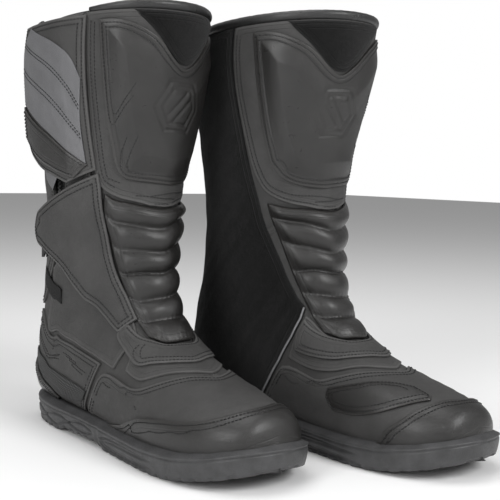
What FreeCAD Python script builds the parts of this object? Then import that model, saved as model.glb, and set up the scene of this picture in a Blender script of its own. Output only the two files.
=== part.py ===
import FreeCAD, Part
import math
import os

os.makedirs("parts", exist_ok=True)
V = FreeCAD.Vector

# A pair of knee-calf touring boots, millimetres, +Z up, toes toward -Y.
# Each boot is drawn once in its own frame: x > 0 is the outer (lateral) side,
# y < 0 the toe, z = 0 the ground. The right boot is the mirror of the left.

# ---- driving dimensions -------------------------------------------------------------
RIGHT_PLACE = (-62.5, 29.78, -2.6)   # x, y, turn in degrees
LEFT_PLACE = (62.5, -31.22, 2.6)
PANEL = 3.8                # upper leather with its foam, under the base surface
OVERLAY = 2.0              # a second leather layer sewn on top
BACK_SEAM = 179.2          # angle where the side panels stop at the back seam
GAP = 0.3                  # clearance between neighbouring layers
PLATE_RISE = 8.0           # crown of the padded shin plate
RIB_RISE = 5.0             # crown of an accordion rib
BINDING_R = 4.6            # rolled collar binding
ZIP_FOOT = V(48.6, 76.0, 145.0)
ZIP_HEAD = V(61.6, 66.0, 318.0)
SLIDER_DROP = 150.0        # free run of the zip slider
TREAD_DEPTH = 3.0

# ---- the foot-and-leg form ----------------------------------------------------------
# One row per station from the toe tip (0) over the heel (10) to the top rim (17):
# front/top point y, z; back/bottom point y, z; height fraction of the widest point;
# lateral and medial half widths; fullness of the top and of the bottom half.
FORM = [
    (-144.0, 31.0, -144.0, 30.0, 0.50, 0.6, 0.6, 2.0, 2.0),
    (-138.5, 46.0, -140.0, 24.0, 0.42, 20.0, 20.0, 2.0, 2.4),
    (-128.5, 52.0, -130.0, 18.0, 0.38, 31.0, 31.0, 2.0, 3.2),
    (-111.0, 57.0, -112.0, 14.0, 0.36, 41.0, 40.5, 2.0, 4.0),
    (-87.0, 63.0, -88.0, 12.0, 0.34, 46.5, 45.5, 2.0, 4.5),
    (-59.0, 71.0, -58.0, 11.0, 0.32, 48.5, 46.0, 2.0, 4.5),
    (-32.0, 82.0, -22.0, 11.0, 0.30, 47.0, 43.0, 2.0, 4.4),
    (-12.0, 97.0, 20.0, 13.0, 0.31, 45.5, 39.5, 2.0, 4.3),
    (-2.0, 114.0, 66.0, 15.0, 0.34, 45.5, 37.5, 2.0, 4.2),
    (2.0, 132.0, 112.0, 17.0, 0.38, 46.0, 37.5, 2.0, 4.0),
    (3.0, 152.0, 145.0, 24.0, 0.42, 46.5, 38.5, 2.0, 3.2),
    (5.0, 177.0, 152.0, 72.0, 0.48, 47.0, 42.0, 2.1, 2.3),
    (7.0, 203.0, 141.0, 119.0, 0.50, 50.0, 46.0, 2.1, 2.1),
    (6.0, 231.0, 135.0, 169.0, 0.50, 53.0, 50.0, 2.1, 2.1),
    (0.0, 259.0, 141.0, 216.0, 0.50, 55.5, 53.5, 2.1, 2.1),
    (-8.0, 287.0, 148.0, 259.0, 0.50, 58.0, 56.5, 2.1, 2.1),
    (-14.0, 311.0, 148.0, 294.0, 0.50, 60.5, 59.0, 2.1, 2.1),
    (-17.0, 332.0, 142.0, 322.0, 0.50, 62.0, 60.0, 2.1, 2.1),
]

# Plan of the sole, half widths lateral and medial along y.
SOLE = [
    (-148.0, 18.0, 18.0), (-139.5, 32.5, 32.0), (-121.0, 45.5, 45.0), (-95.0, 53.5, 52.0),
    (-63.0, 56.5, 53.0), (-33.0, 55.0, 50.0), (0.0, 52.5, 46.5), (35.0, 51.0, 44.0),
    (70.0, 51.0, 43.0), (100.0, 49.0, 42.5), (124.0, 43.0, 39.0), (141.0, 31.0, 29.5),
    (150.0, 15.5, 15.5),
]
SOLE_TOE = -151.5
SOLE_HEEL = 153.0
RIM_WIDTH = 3.6
# Side view of the sole: ground line, top of the rim, top of the slab inside the rim.
GROUND = [(154.0, 4.5), (140.0, 1.0), (128.0, 0.0), (78.0, 0.0), (68.0, 3.5),
          (14.0, 3.5), (2.0, 0.0), (-72.0, 0.0)]
TOE_SPRING = [(-72.0, 0.0), (-86.0, 0.6), (-105.0, 3.0), (-130.0, 8.0), (-154.0, 14.5)]
RIM = [(-154.0, 31.0), (-140.0, 28.0), (-122.0, 23.5), (-95.0, 19.5), (-60.0, 18.0),
       (0.0, 18.5), (40.0, 19.5), (90.0, 20.5), (128.0, 21.5), (154.0, 23.0)]
SLAB = [(-154.0, 26.0), (-140.0, 19.5), (-130.0, 13.5), (-112.0, 9.5), (-88.0, 7.5),
        (-58.0, 6.5), (-22.0, 6.5), (20.0, 8.5), (66.0, 10.5), (112.0, 12.5),
        (135.0, 13.6), (154.0, 14.5)]


def spline(table, t):
    """Catmull-Rom value of a list of tuples at the running index t."""
    last = len(table) - 1
    t = min(max(t, 0.0), float(last))
    i = min(int(t), last - 1)
    u = t - i
    p1 = table[i]
    p2 = table[i + 1]
    p0 = table[i - 1] if i > 0 else tuple(2 * a - b for a, b in zip(p1, p2))
    p3 = table[i + 2] if i + 2 <= last else tuple(2 * b - a for a, b in zip(p1, p2))
    out = []
    for a, b, c, d in zip(p0, p1, p2, p3):
        out.append(0.5 * (2 * b + (c - a) * u + (2 * a - 5 * b + 4 * c - d) * u * u
                          + (3 * b - a - 3 * c + d) * u ** 3))
    return out


def form(v, degrees):
    """Point of the base surface at station v and angle: 0 front, 90 lateral, 180 back."""
    ay, az, by, bz, f, wide_l, wide_m, n_top, n_low = spline(FORM, v)
    c = math.cos(math.radians(degrees))
    s = math.sin(math.radians(degrees))
    n = n_top if c >= 0 else n_low
    cc = math.copysign(abs(c) ** (2.0 / n), c)
    ss = math.copysign(abs(s) ** (2.0 / n), s)
    my = by + f * (ay - by)
    mz = bz + f * (az - bz)
    reach = (ay - my, az - mz) if c >= 0 else (my - by, mz - bz)
    wide = wide_l if s >= 0 else wide_m
    return V(wide * ss, my + reach[0] * cc, mz + reach[1] * cc)


def lifted(v, degrees, lift):
    """Base surface point moved along the outward normal."""
    h = 0.06
    lo = max(v - h, 0.02)
    hi = min(v + h, 17.0)
    along = form(hi, degrees) - form(lo, degrees)
    around = form(v, degrees + 1.5) - form(v, degrees - 1.5)
    n = around.cross(along)
    n.normalize()
    if v < 0.25:
        n = n * (v / 0.25) + V(0, -1, 0) * (1 - v / 0.25)
        n.normalize()
    return form(v, degrees) + n * lift


def value(level, t, s):
    return level(t, s) if callable(level) else level


def doubled(line):
    """Poles of a smooth curve through the points, two for each point."""
    out = []
    last = len(line) - 1
    for i, p in enumerate(line):
        a = line[max(i - 1, 0)]
        b = line[min(i + 1, last)]
        third = (b - a) * (1.0 / 6.0) if 0 < i < last else (b - a) * (1.0 / 3.0)
        out.append(p if i == 0 else p - third)
        out.append(p if i == last else p + third)
    return out


def sheet_through(grid):
    """Smooth surface through a grid of points, evenly parametrised."""
    half = [doubled(row) for row in grid]
    columns = [doubled([row[j] for row in half]) for j in range(len(half[0]))]
    poles = [[c[i] for c in columns] for i in range(len(columns[0]))]
    knots = []
    mults = []
    for count in (len(grid), len(grid[0])):
        knots.append([float(k) for k in range(count)])
        mults.append([4] + [2] * (count - 2) + [4])
    sheet = Part.BSplineSurface()
    sheet.buildFromPolesMultsKnots(poles, mults[0], mults[1], knots[0], knots[1],
                                   False, False, 3, 3)
    return sheet


def ruled(a, b):
    """Straight-ruled face between two curves that share their knots."""
    side = Part.BSplineSurface()
    side.buildFromPolesMultsKnots([a.getPoles(), b.getPoles()], [2, 2],
                                  a.getMultiplicities(), [0.0, 1.0], a.getKnots(),
                                  False, False, 1, 3)
    return side.toShape()


def patch(rows, low, high, m, n, stop=400.0):
    """Closed solid over rows of (station, angle) points, between two lifts."""
    grids = ([], [])
    for i in range(m):
        t = i / (m - 1.0)
        line_out = []
        line_in = []
        for j in range(n):
            s = j / (n - 1.0)
            column = [tuple(spline(r, s * (len(r) - 1))) for r in rows]
            v, a = spline(column, t * (len(rows) - 1))
            a = max(-stop, min(stop, a))
            line_out.append(lifted(v, a, value(high, t, s)))
            line_in.append(lifted(v, a, value(low, t, s)))
        grids[0].append(line_out)
        grids[1].append(line_in)
    outer = sheet_through(grids[0])
    inner = sheet_through(grids[1])
    faces = [outer.toShape(), inner.toShape()]
    for u in (0.0, m - 1.0):
        faces.append(ruled(outer.uIso(u), inner.uIso(u)))
    for w in (0.0, n - 1.0):
        faces.append(ruled(outer.vIso(w), inner.vIso(w)))
    shell = Part.makeCompound(faces)
    shell.sewShape()
    solid = Part.makeSolid(shell.Shells[0])
    if solid.Volume < 0:
        solid.reverse()
    return solid


def group(solids):
    return solids[0] if len(solids) == 1 else Part.makeCompound(solids)


def bottom_edge(v):
    """Angle where the upper turns under the foot and meets the sole."""
    table = [(7.6, 128.0), (8.0, 130.0), (8.5, 136.0), (9.0, 145.0), (9.4, 155.0),
             (9.7, 170.0), (9.8, 179.0)]
    if v <= table[0][0]:
        return table[0][1]
    for (v0, a0), (v1, a1) in zip(table, table[1:]):
        if v <= v1:
            return a0 + (a1 - a0) * (v - v0) / (v1 - v0)
    return 179.0


# ---- sole unit ----------------------------------------------------------------------
def sole_outline(inset):
    """Closed plan curve of the sole, moved inward by inset."""
    side = [(y, l) for y, l, m in SOLE]
    back = [(y, -m) for y, l, m in reversed(SOLE)]
    ring = [(SOLE_TOE, 0.0)] + side + [(SOLE_HEEL, 0.0)] + back
    pts = []
    for i, (y, x) in enumerate(ring):
        y0, x0 = ring[i - 1]
        y1, x1 = ring[(i + 1) % len(ring)]
        tangent = V(x1 - x0, y1 - y0, 0)
        tangent.normalize()
        pts.append(V(x, y, 0) + V(-tangent.y, tangent.x, 0) * inset)
    curve = Part.BSplineCurve()
    curve.interpolate(pts, PeriodicFlag=True)
    return Part.Wire(curve.toShape())


def plan_prism(inset, z0, z1):
    wire = sole_outline(inset)
    wire.translate(V(0, 0, z0))
    return Part.Face(wire).extrude(V(0, 0, z1 - z0))


def side_line(points):
    curve = Part.BSplineCurve()
    curve.interpolate([V(-90, y, z) for y, z in points])
    return curve.toShape()


def side_prism(edges):
    return Part.Face(Part.Wire(edges)).extrude(V(180, 0, 0))


def ground_edges():
    pts = [V(-90, y, z) for y, z in GROUND]
    edges = [Part.makeLine(a, b) for a, b in zip(pts, pts[1:])]
    edges.append(side_line(TOE_SPRING))
    return edges


def outsole():
    toe = V(-90, TOE_SPRING[-1][0], TOE_SPRING[-1][1])
    heel = V(-90, GROUND[0][0], GROUND[0][1])
    rim_toe = V(-90, RIM[0][0], RIM[0][1])
    rim_heel = V(-90, RIM[-1][0], RIM[-1][1])
    edges = ground_edges()
    edges += [Part.makeLine(toe, rim_toe), side_line(RIM), Part.makeLine(rim_heel, heel)]
    body = plan_prism(0.0, -5.0, 45.0).common(side_prism(edges))
    slab_toe = V(-90, SLAB[0][0], SLAB[0][1])
    slab_heel = V(-90, SLAB[-1][0], SLAB[-1][1])
    high_toe = V(-90, SLAB[0][0], 60)
    high_heel = V(-90, SLAB[-1][0], 60)
    hollow = [side_line(SLAB), Part.makeLine(slab_heel, high_heel),
              Part.makeLine(high_heel, high_toe), Part.makeLine(high_toe, slab_toe)]
    body = body.cut(plan_prism(RIM_WIDTH, -5.0, 60.0).common(side_prism(hollow)))
    for k in range(5):
        y = -8.0 - 15.0 * k
        body = body.cut(Part.makeBox(130, 3.0, TREAD_DEPTH, V(-65, y, 0)))
    for k in range(3):
        y = 88.0 + 15.0 * k
        body = body.cut(Part.makeBox(130, 3.0, TREAD_DEPTH, V(-65, y, 0)))
    return body


def midsole():
    rows = [[(1.3, 146), (1.3, 214)], [(4, 142), (4, 218)], [(7.6, 142), (7.6, 218)],
            [(8.6, 146), (8.6, 214)], [(9.2, 156), (9.2, 204)]]
    return patch(rows, GAP, 3.2, 13, 9)


def insole_board():
    rows = [[(1.5, 140), (1.5, 220)], [(4, 135), (4, 225)], [(7.6, 135), (7.6, 225)],
            [(8.6, 143), (8.6, 217)], [(9.2, 156), (9.2, 204)]]
    return patch(rows, -PANEL, -1.6, 13, 9)


def shank():
    rows = [[(5.2, 172), (5.2, 188)], [(7, 174), (7, 186)], [(8.8, 171), (8.8, 189)]]
    return patch(rows, -1.3, -0.1, 9, 5)


def footbed():
    rows = [[(2.0, 150), (2.0, 210)], [(4, 140), (4, 220)], [(7.6, 142), (7.6, 218)],
            [(8.5, 150), (8.5, 210)], [(8.9, 160), (8.9, 200)]]
    return patch(rows, -12.5, -8.6, 13, 9)


# ---- upper, base layer --------------------------------------------------------------
def vamp():
    """Rows run over the foot from the lateral to the medial sole edge."""
    tops = [(127, 7.5), (110, 7.5), (90, 7.48), (78, 7.4), (72, 7.1), (68, 6.3),
            (62, 5.8), (50, 5.4), (35, 5.05), (18, 4.75), (2, 4.45), (-14, 4.65),
            (-28, 5.0), (-42, 5.4), (-56, 5.85), (-66, 6.3), (-70, 7.1), (-76, 7.55),
            (-90, 7.6), (-110, 7.6), (-127, 7.6)]
    rows = []
    for a, end in tops:
        rows.append([(0.12, a), (1.2, a), (2.4, a), (2.4 + (end - 2.4) * 0.5, a), (end, a)])
    return patch(rows, -PANEL, 0.0, 41, 17)


def lateral_quarter():
    edge = [(7.62, 72), (8.5, 77.5), (9.4, 84), (9.8, 88), (10.1, 92), (10.55, 104),
            (11.0, 121), (11.25, 145)]
    rows = [[(v, a), (v, 0.5 * (a + bottom_edge(v))), (v, bottom_edge(v))] for v, a in edge]
    return patch(rows, -PANEL, 0.0, 29, 11, BACK_SEAM)


def lateral_panel():
    """Fixed panel under the flap: one leaf before the zip, one below it."""
    front = [[(17 - 0.12, 64), (17 - 0.12, 82)], [(15, 63), (15, 82)], [(13.4, 58), (13.4, 82)],
             [(12.3, 57), (12.3, 82.5)], [(11.52, 56), (11.52, 83)]]
    below = [[(11.45, 51), (11.45, 75), (11.45, 98)], [(11.0, 48), (11.0, 74), (10.85, 98)],
             [(10.45, 44), (10.45, 72), (10.45, 99)], [(10.0, 41), (10.0, 66), (10.0, 88)],
             [(9.3, 38), (9.3, 62), (9.3, 81)], [(8.4, 35), (8.4, 58), (8.4, 75)],
             [(7.6, 33), (7.6, 54), (7.6, 70)], [(7.05, 35), (7.05, 53), (7.05, 67)]]
    return group([patch(front, -PANEL, 0.0, 11, 5), patch(below, -PANEL, 0.0, 23, 9)])


def rear_panel():
    rows = [[(16.88, 98), (14, 98), (12, 98), (11.5, 98)],
            [(16.88, 110), (14, 110), (12, 110), (11.08, 110)],
            [(16.88, 121), (14, 121), (12, 121), (11.14, 123)],
            [(16.88, 140), (14, 140), (12, 140), (11.33, 142)],
            [(16.88, 160), (14, 160), (12, 160), (11.4, 160)],
            [(16.88, 179), (14, 179), (12, 179), (11.4, 179)]]
    return patch(rows, -PANEL, 0.0, 16, 13)


def medial_panel():
    """Suede side panel from the collar to the sole, with the back seam at its rear."""
    edge = [(7.7, -74), (7.85, -58), (8.2, -38), (8.95, -40), (10.15, -46), (11.05, -55),
            (11.75, -62), (12.4, -67), (13.15, -73.5), (14.0, -79), (15.05, -85),
            (16.0, -88), (16.88, -89)]
    rows = []
    for v, a in edge:
        b = -bottom_edge(v)
        rows.append([(v, a), (v, a + (b - a) / 3), (v, a + (b - a) * 2 / 3), (v, b)])
    return patch(rows, -PANEL, 0.0, 37, 17, BACK_SEAM)


def shin_border():
    rows = [[(11.35, 9), (11.3, -4), (11.38, -16)],
            [(11.75, 31), (11.5, -3), (11.75, -36)],
            [(12.2, 46), (11.9, -4), (12.2, -53)],
            [(12.6, 52), (12.5, -6), (12.6, -63)],
            [(13.2, 55), (13.2, -8), (13.2, -71)],
            [(14, 58), (14, -9), (14, -77)],
            [(15, 61), (15, -10), (15, -83)],
            [(16, 62), (16, -11), (16, -86)],
            [(16.88, 62), (16.88, -12), (16.88, -87)]]
    return patch(rows, -PANEL, 0.0, 25, 17)


def rib_lift(t, s):
    """Padded rib profile along the accordion, flat at its two side seams."""
    wave = abs(math.sin(math.pi * 6 * t)) ** 0.8
    edge = min(1.0, 6.0 * s, 6.0 * (1 - s))
    return 0.2 + RIB_RISE * wave * edge


def accordion():
    rows = [[(12.1, 46), (11.7, 32), (11.25, 0), (11.6, -33), (12.15, -59)],
            [(11.6, 47), (11.1, 32), (10.65, 0), (11.2, -33), (11.75, -56)],
            [(10.75, 42), (10.35, 30), (9.9, 0), (10.45, -29), (11.0, -49)],
            [(9.9, 37), (9.45, 26), (9.1, 0), (9.6, -25), (10.05, -41)],
            [(8.7, 32.5), (8.2, 22), (8.05, 0), (8.4, -20), (8.95, -36)],
            [(7.6, 30), (7.25, 20), (7.12, 0), (7.35, -20), (7.85, -33)],
            [(6.8, 27), (6.3, 17), (6.2, 0), (6.4, -19), (6.95, -30)]]
    return patch(rows, -PANEL, rib_lift, 37, 13)


def instep_cuff():
    """Base leaf in the vamp's notch with a sewn cuff layer over it."""
    base = [[(6.6, 60), (6.95, 33)], [(6.0, 57), (6.6, 26)], [(5.6, 46), (6.2, 17)],
            [(4.85, 12), (6.08, 6)], [(4.72, -6), (6.08, -6)], [(5.4, -33), (6.3, -18)],
            [(5.9, -50), (6.75, -28)], [(6.6, -62), (7.6, -34)], [(7.5, -68), (8.05, -38)]]
    top = [[(7.0, 50), (7.7, 49), (7.75, 38)], [(6.3, 49), (6.8, 41), (7.0, 33)],
           [(5.9, 38), (6.3, 32), (6.6, 26)], [(5.5, 24), (5.85, 20), (6.2, 16)],
           [(5.2, 5), (5.6, 3), (6.05, 2)], [(5.4, -14), (5.75, -13), (6.1, -10)],
           [(5.65, -27), (6.0, -25), (6.35, -20)], [(6.1, -42), (6.5, -36), (6.85, -31)],
           [(6.8, -54), (7.2, -46), (7.5, -38)], [(7.4, -60), (7.75, -52), (7.95, -40)]]
    return group([patch(base, -PANEL, 0.0, 25, 7), patch(top, GAP, GAP + OVERLAY, 28, 7)])


# ---- upper, sewn-on layers ----------------------------------------------------------
def toe_cap():
    edge = [(127, 6.9), (110, 6.6), (94, 6.0), (82, 5.2), (74, 4.4), (66, 3.6), (53, 2.85),
            (35, 2.35), (15, 2.1), (-5, 2.12), (-22, 2.4), (-37, 2.65), (-53, 2.95),
            (-69, 3.25), (-85, 3.65), (-103, 4.0), (-127, 4.4)]
    rows = []
    for a, end in edge:
        rows.append([(0.2, a), (0.6, a), (1.2, a), (1.2 + (end - 1.2) * 0.5, a), (end, a)])
    return patch(rows, GAP, GAP + OVERLAY, 33, 15)


def heel_cup():
    rows = [[(8.62, 124), (8.62, 127.5), (8.62, 131)], [(9.0, 118), (9.0, 127), (9.0, 136)],
            [(9.4, 116), (9.4, 128), (9.4, 140)], [(9.75, 116), (9.75, 130.5), (9.75, 145)],
            [(10.02, 118), (10.02, 142), (10.02, 166)], [(10.2, 124), (10.2, 161), (10.2, 198)],
            [(10.4, 138), (10.4, 172), (10.4, 206)]]
    return patch(rows, GAP, GAP + OVERLAY, 21, 13)


def heel_window():
    rows = [[(7.7, 92), (7.7, 101)], [(8.0, 92), (8.0, 110)], [(8.5, 93.5), (8.5, 119)],
            [(8.95, 95.5), (8.95, 116)], [(9.4, 98.5), (9.4, 114)], [(9.9, 102), (9.9, 114)],
            [(10.4, 118), (10.4, 126)]]
    return patch(rows, GAP, GAP + 0.9, 19, 5)


def plate_rise(t, s):
    edge = min(1.0, 5 * t, 5 * (1 - t), 5 * s, 5 * (1 - s))
    return 2.2 + (PLATE_RISE - 2.2) * math.sin(0.5 * math.pi * edge)


def shin_plate():
    rows = [[(13.3, 40), (12.5, 34), (12.15, 21), (11.97, -6), (12.15, -27), (12.55, -45),
             (13.1, -56)],
            [(14.0, 44.5), (13.4, 33), (13.1, 17), (13.0, -9), (13.1, -33), (13.4, -50),
             (13.9, -62)],
            [(15.2, 49), (14.7, 36), (14.2, 16), (14.0, -10), (14.2, -36), (14.6, -55),
             (15.1, -68)],
            [(16.6, 52), (16.5, 35), (16.0, 15), (15.08, -10), (16.0, -37), (16.5, -57),
             (16.6, -73)]]
    return patch(rows, GAP, plate_rise, 19, 25)


def collar_insert():
    """Soft front insert above the plate's cut-out."""
    rows = [[(16.7, 27), (16.08, 14), (15.35, 0), (15.17, -10), (15.35, -20), (16.08, -36),
             (16.7, -49)],
            [(16.78, 28), (16.4, 15), (16.05, 0), (15.95, -10), (16.05, -20), (16.4, -37),
             (16.78, -50)],
            [(16.86, 30), (16.86, 16), (16.86, 0), (16.86, -10), (16.86, -20),
             (16.86, -38), (16.86, -52)]]
    return patch(rows, GAP, 2.6, 9, 19)


def collar_binding():
    """Rolled binding on the rim, open only where the flap and zip pass."""
    pts = []
    for k in range(31):
        a = 60.0 - (60.0 + 252.0) * k / 30.0
        pts.append(lifted(17.0, a, -2.0) + V(0, 0, BINDING_R - 1.6))
    curve = Part.BSplineCurve()
    curve.interpolate(pts)
    path = Part.Wire(curve.toShape())
    start = pts[1] - pts[0]
    ring = Part.Wire(Part.makeCircle(BINDING_R, pts[0], start))
    return path.makePipeShell([ring], True, True)


def liner():
    sides = []
    for sign in (1, -1):
        rows = []
        for v in (1.7, 2.4, 3.2, 4, 5, 6, 7, 8, 9, 10, 11, 12, 13, 14, 15, 16, 16.95):
            rows.append([(v, sign * a) for a in (0.6, 30, 60, 90, 120, 150, 179.4)])
        sides.append(patch(rows, -8.2, -5.6, 33, 19))
    return group(sides)


def stiffeners():
    """Toe puff, heel counter and two ankle guards, between upper and lining."""
    puff = []
    for a in (112, 80, 50, 20, -20, -50, -80, -112):
        puff.append([(0.75, a), (1.4, a), (2.6, a)])
    counter = [[(8.9, 118), (8.9, 130), (8.9, 143)], [(9.5, 112), (9.5, 134), (9.5, 156)],
               [(10.0, 112), (10.0, 180), (10.0, 248)], [(10.6, 122), (10.6, 180), (10.6, 238)],
               [(11.0, 135), (11.0, 180), (11.0, 225)]]
    lateral = [[(9.7, 78), (9.7, 96)], [(10.3, 74), (10.3, 100)], [(10.9, 78), (10.9, 96)]]
    medial = [[(9.7, -76), (9.7, -94)], [(10.3, -72), (10.3, -98)], [(10.9, -76), (10.9, -94)]]
    return group([patch(puff, -5.3, -4.1, 15, 7), patch(counter, -5.1, -4.3, 15, 13),
                  patch(lateral, -5.3, -4.1, 7, 5), patch(medial, -5.3, -4.1, 7, 5)])


def gear_pad():
    rows = [[(5.8, -66), (5.1, -50), (4.6, -36), (4.1, -25), (3.6, -18)],
            [(5.75, -75), (5.0, -64), (4.3, -52), (3.7, -38), (3.0, -21)],
            [(5.45, -83), (4.75, -80), (4.05, -69), (3.45, -52), (2.8, -29)]]
    return patch(rows, GAP, 2.8, 11, 15)


# ---- side zip -----------------------------------------------------------------------
def zip_frame():
    """Local axes of the zip: up the track, across it, and out of the boot."""
    up = ZIP_HEAD - ZIP_FOOT
    length = up.Length
    up.normalize()
    out = V(1, 0, 0) - up * up.x
    out.normalize()
    across = up.cross(out)
    return up, across, out, length


def zip_block(at, length, half, out0, out1, side=0.0):
    """Box on the track from a running height, along it, by half width and lifts."""
    up, across, out, run = zip_frame()
    base = ZIP_FOOT + up * at + across * (side - half) + out * out0
    corner = [base, base + across * (2 * half)]
    corner += [corner[1] + out * (out1 - out0), base + out * (out1 - out0)]
    face = Part.Face(Part.makePolygon(corner + [corner[0]]))
    return face.extrude(up * length)


def zip_tape():
    rows = [[(16.86, 78.5), (16.86, 101.5)], [(14, 78), (14, 102)], [(12, 78), (12, 102)],
            [(11.3, 80), (11.3, 100)]]
    return patch(rows, -5.2, -4.3, 13, 7)


def zip_teeth():
    run = zip_frame()[3]
    return zip_block(0, run - 14.0, 2.7, -3.2, -1.4)


def zip_slider():
    run = zip_frame()[3]
    at = run - 24.0
    top = zip_block(at, 12.0, 4.6, -1.1, 0.1)
    left = zip_block(at, 12.0, 0.7, -3.4, -1.1, -3.9)
    right = zip_block(at, 12.0, 0.7, -3.4, -1.1, 3.9)
    post_a = zip_block(at + 7.0, 3.0, 0.5, 0.1, 2.5, -2.0)
    post_b = zip_block(at + 7.0, 3.0, 0.5, 0.1, 2.5, 2.0)
    body = top.fuse(left).fuse(right).fuse(post_a).fuse(post_b)
    return body.removeSplitter()


def pull_pivot():
    up, across, out, run = zip_frame()
    return ZIP_FOOT + up * (run - 24.0 + 8.5) + out * 1.5


def zip_pull():
    run = zip_frame()[3]
    at = run - 24.0
    eye = zip_block(at + 7.8, 1.4, 1.2, 0.8, 2.2)
    tab = zip_block(at - 22.0, 30.5, 1.2, 0.8, 2.2)
    grip = zip_block(at - 26.0, 22.0, 4.0, 0.8, 2.2)
    return tab.fuse(eye).fuse(grip).removeSplitter()


# ---- closing flap -------------------------------------------------------------------
HINGE_V = (16.7, 12.3)
HINGE_A = (67.0, 60.0)
HINGE_LIFT = 3.9


def hinge_line():
    top = lifted(HINGE_V[0], HINGE_A[0], HINGE_LIFT)
    low = lifted(HINGE_V[1], HINGE_A[1], HINGE_LIFT)
    return top, low


def hinge_angle(v):
    """Angle at station v where the base surface passes behind the hinge line."""
    top, low = hinge_line()
    lo = 30.0
    hi = 95.0
    for k in range(40):
        mid = 0.5 * (lo + hi)
        p = lifted(v, mid, HINGE_LIFT)
        u = (p.z - low.z) / (top.z - low.z)
        if p.y < low.y + (top.y - low.y) * u:
            lo = mid
        else:
            hi = mid
    return lo


def flap_low(t, s):
    """Inside of the flap: rises from the hinge, clear of the zip, and flares."""
    return 2.7 + 2.6 * min(1.0, 6.0 * s) + 2.2 * s * s


def flap_high(t, s):
    return flap_low(t, s) + 2.6


def flap_row(v, far_v, far_a):
    near = hinge_angle(v)
    row = []
    for k in range(5):
        u = k / 4.0
        row.append((v + (far_v - v) * u, near + (far_a - near) * u))
    return row


def upper_rows():
    ends = [(16.8, 16.8, 112), (16.0, 16.0, 119), (15.2, 15.1, 121), (14.6, 14.2, 121),
            (13.7, 13.6, 104), (13.1, 13.1, 85), (12.75, 12.78, 73)]
    return [flap_row(*e) for e in ends]


def lower_rows():
    ends = [(12.6, 12.9, 119), (12.2, 12.6, 121), (11.8, 12.1, 119), (11.2, 11.6, 99),
            (10.6, 11.0, 82), (10.1, 10.3, 70), (9.7, 9.8, 65)]
    return [flap_row(*e) for e in ends]


def flap():
    return group([patch(upper_rows(), flap_low, flap_high, 25, 13),
                  patch(lower_rows(), flap_low, flap_high, 21, 13)])


def on_flap(v, a):
    """How far along the flap a station and angle lie, from hinge to free edge."""
    near = hinge_angle(v)
    return (a - near) / (119.0 - near)


def flap_reflector():
    rows = [[(15.2, 71), (15.65, 76), (16.1, 88), (16.7, 109)],
            [(14.2, 70), (14.8, 79), (15.4, 96), (16.0, 116)],
            [(13.05, 67), (13.5, 76), (14.2, 97), (14.9, 118)]]

    def level(t, s):
        v, a = spline([tuple(spline(r, s * 3)) for r in rows], t * 2)
        return flap_high(t, min(1.0, max(0.0, on_flap(v, a)))) + 0.65

    def top(t, s):
        return level(t, s) + 0.8
    return patch(rows, level, top, 9, 13)


def pads(low_lift, high_lift):
    upper = [[(14.3, 102.5), (14.3, 116)], [(16.3, 102.5), (16.3, 114)]]
    lower = [[(11.9, 102.5), (11.9, 113)], [(12.6, 102.5), (12.6, 116)]]
    return group([patch(upper, low_lift, high_lift, 7, 5),
                  patch(lower, low_lift, high_lift, 5, 5)])


def loop_pads():
    return pads(GAP, 1.5)


def hook_pads():
    def under(t, s):
        return 5.2
    return pads(1.9, under)


# ---- the pair -----------------------------------------------------------------------
PARTS = {
    "outsole": outsole, "midsole": midsole, "shank": shank, "insole_board": insole_board,
    "footbed": footbed, "toe_cap": toe_cap, "stiffeners": stiffeners, "vamp": vamp,
    "lateral_quarter": lateral_quarter, "heel_cup": heel_cup, "heel_window": heel_window,
    "medial_panel": medial_panel, "lateral_panel": lateral_panel, "rear_panel": rear_panel,
    "instep_cuff": instep_cuff, "accordion": accordion, "shin_border": shin_border,
    "shin_plate": shin_plate, "collar_insert": collar_insert,
    "collar_binding": collar_binding, "liner": liner, "zip_tape": zip_tape,
    "zip_teeth": zip_teeth, "zip_slider": zip_slider, "zip_pull": zip_pull,
    "flap": flap, "flap_reflector": flap_reflector, "loop_pads": loop_pads,
    "hook_pads": hook_pads,
}


def place(shape, side):
    """Put a boot-frame shape, point set or solid, into the pair's frame."""
    x, y, turn = RIGHT_PLACE if side == "right" else LEFT_PLACE
    if side == "right":
        shape = shape.mirror(V(0, 0, 0), V(1, 0, 0))
    shape = shape.copy()
    shape.rotate(V(0, 0, 0), V(0, 0, 1), turn)
    shape.translate(V(x, y, 0))
    return shape


for name, make in PARTS.items():
    shape = make()
    for side in ("right", "left"):
        place(shape, side).exportStep("parts/" + side + "_" + name + ".step")
place(gear_pad(), "left").exportStep("parts/left_gear_pad.step")

for side in ("right", "left"):
    marks = list(hinge_line()) + [pull_pivot(), ZIP_FOOT, ZIP_HEAD]
    for label, point in zip(("hinge top", "hinge low", "pull pivot", "zip foot",
                             "zip head"), marks):
        at = place(Part.Vertex(point), side).Point
        print(side, label, [round(c, 2) for c in at])
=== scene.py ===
# %% [markdown]
# # A pair of touring boots
# The frame holds the measured solids of the pair. Here each solid gets its looks:
# leather panels cut from flat outlines and wrapped over a foot-and-leg form, padded
# ribs, stitching, a moulded sole and the finishes. Everything is in metres, and the
# boots are drawn once in a boot frame in millimetres, then placed left and right.

# %% Load the fixed frame
import math

import bmesh
import bpy
import numpy as np
from mathutils import Matrix, Vector


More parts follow.
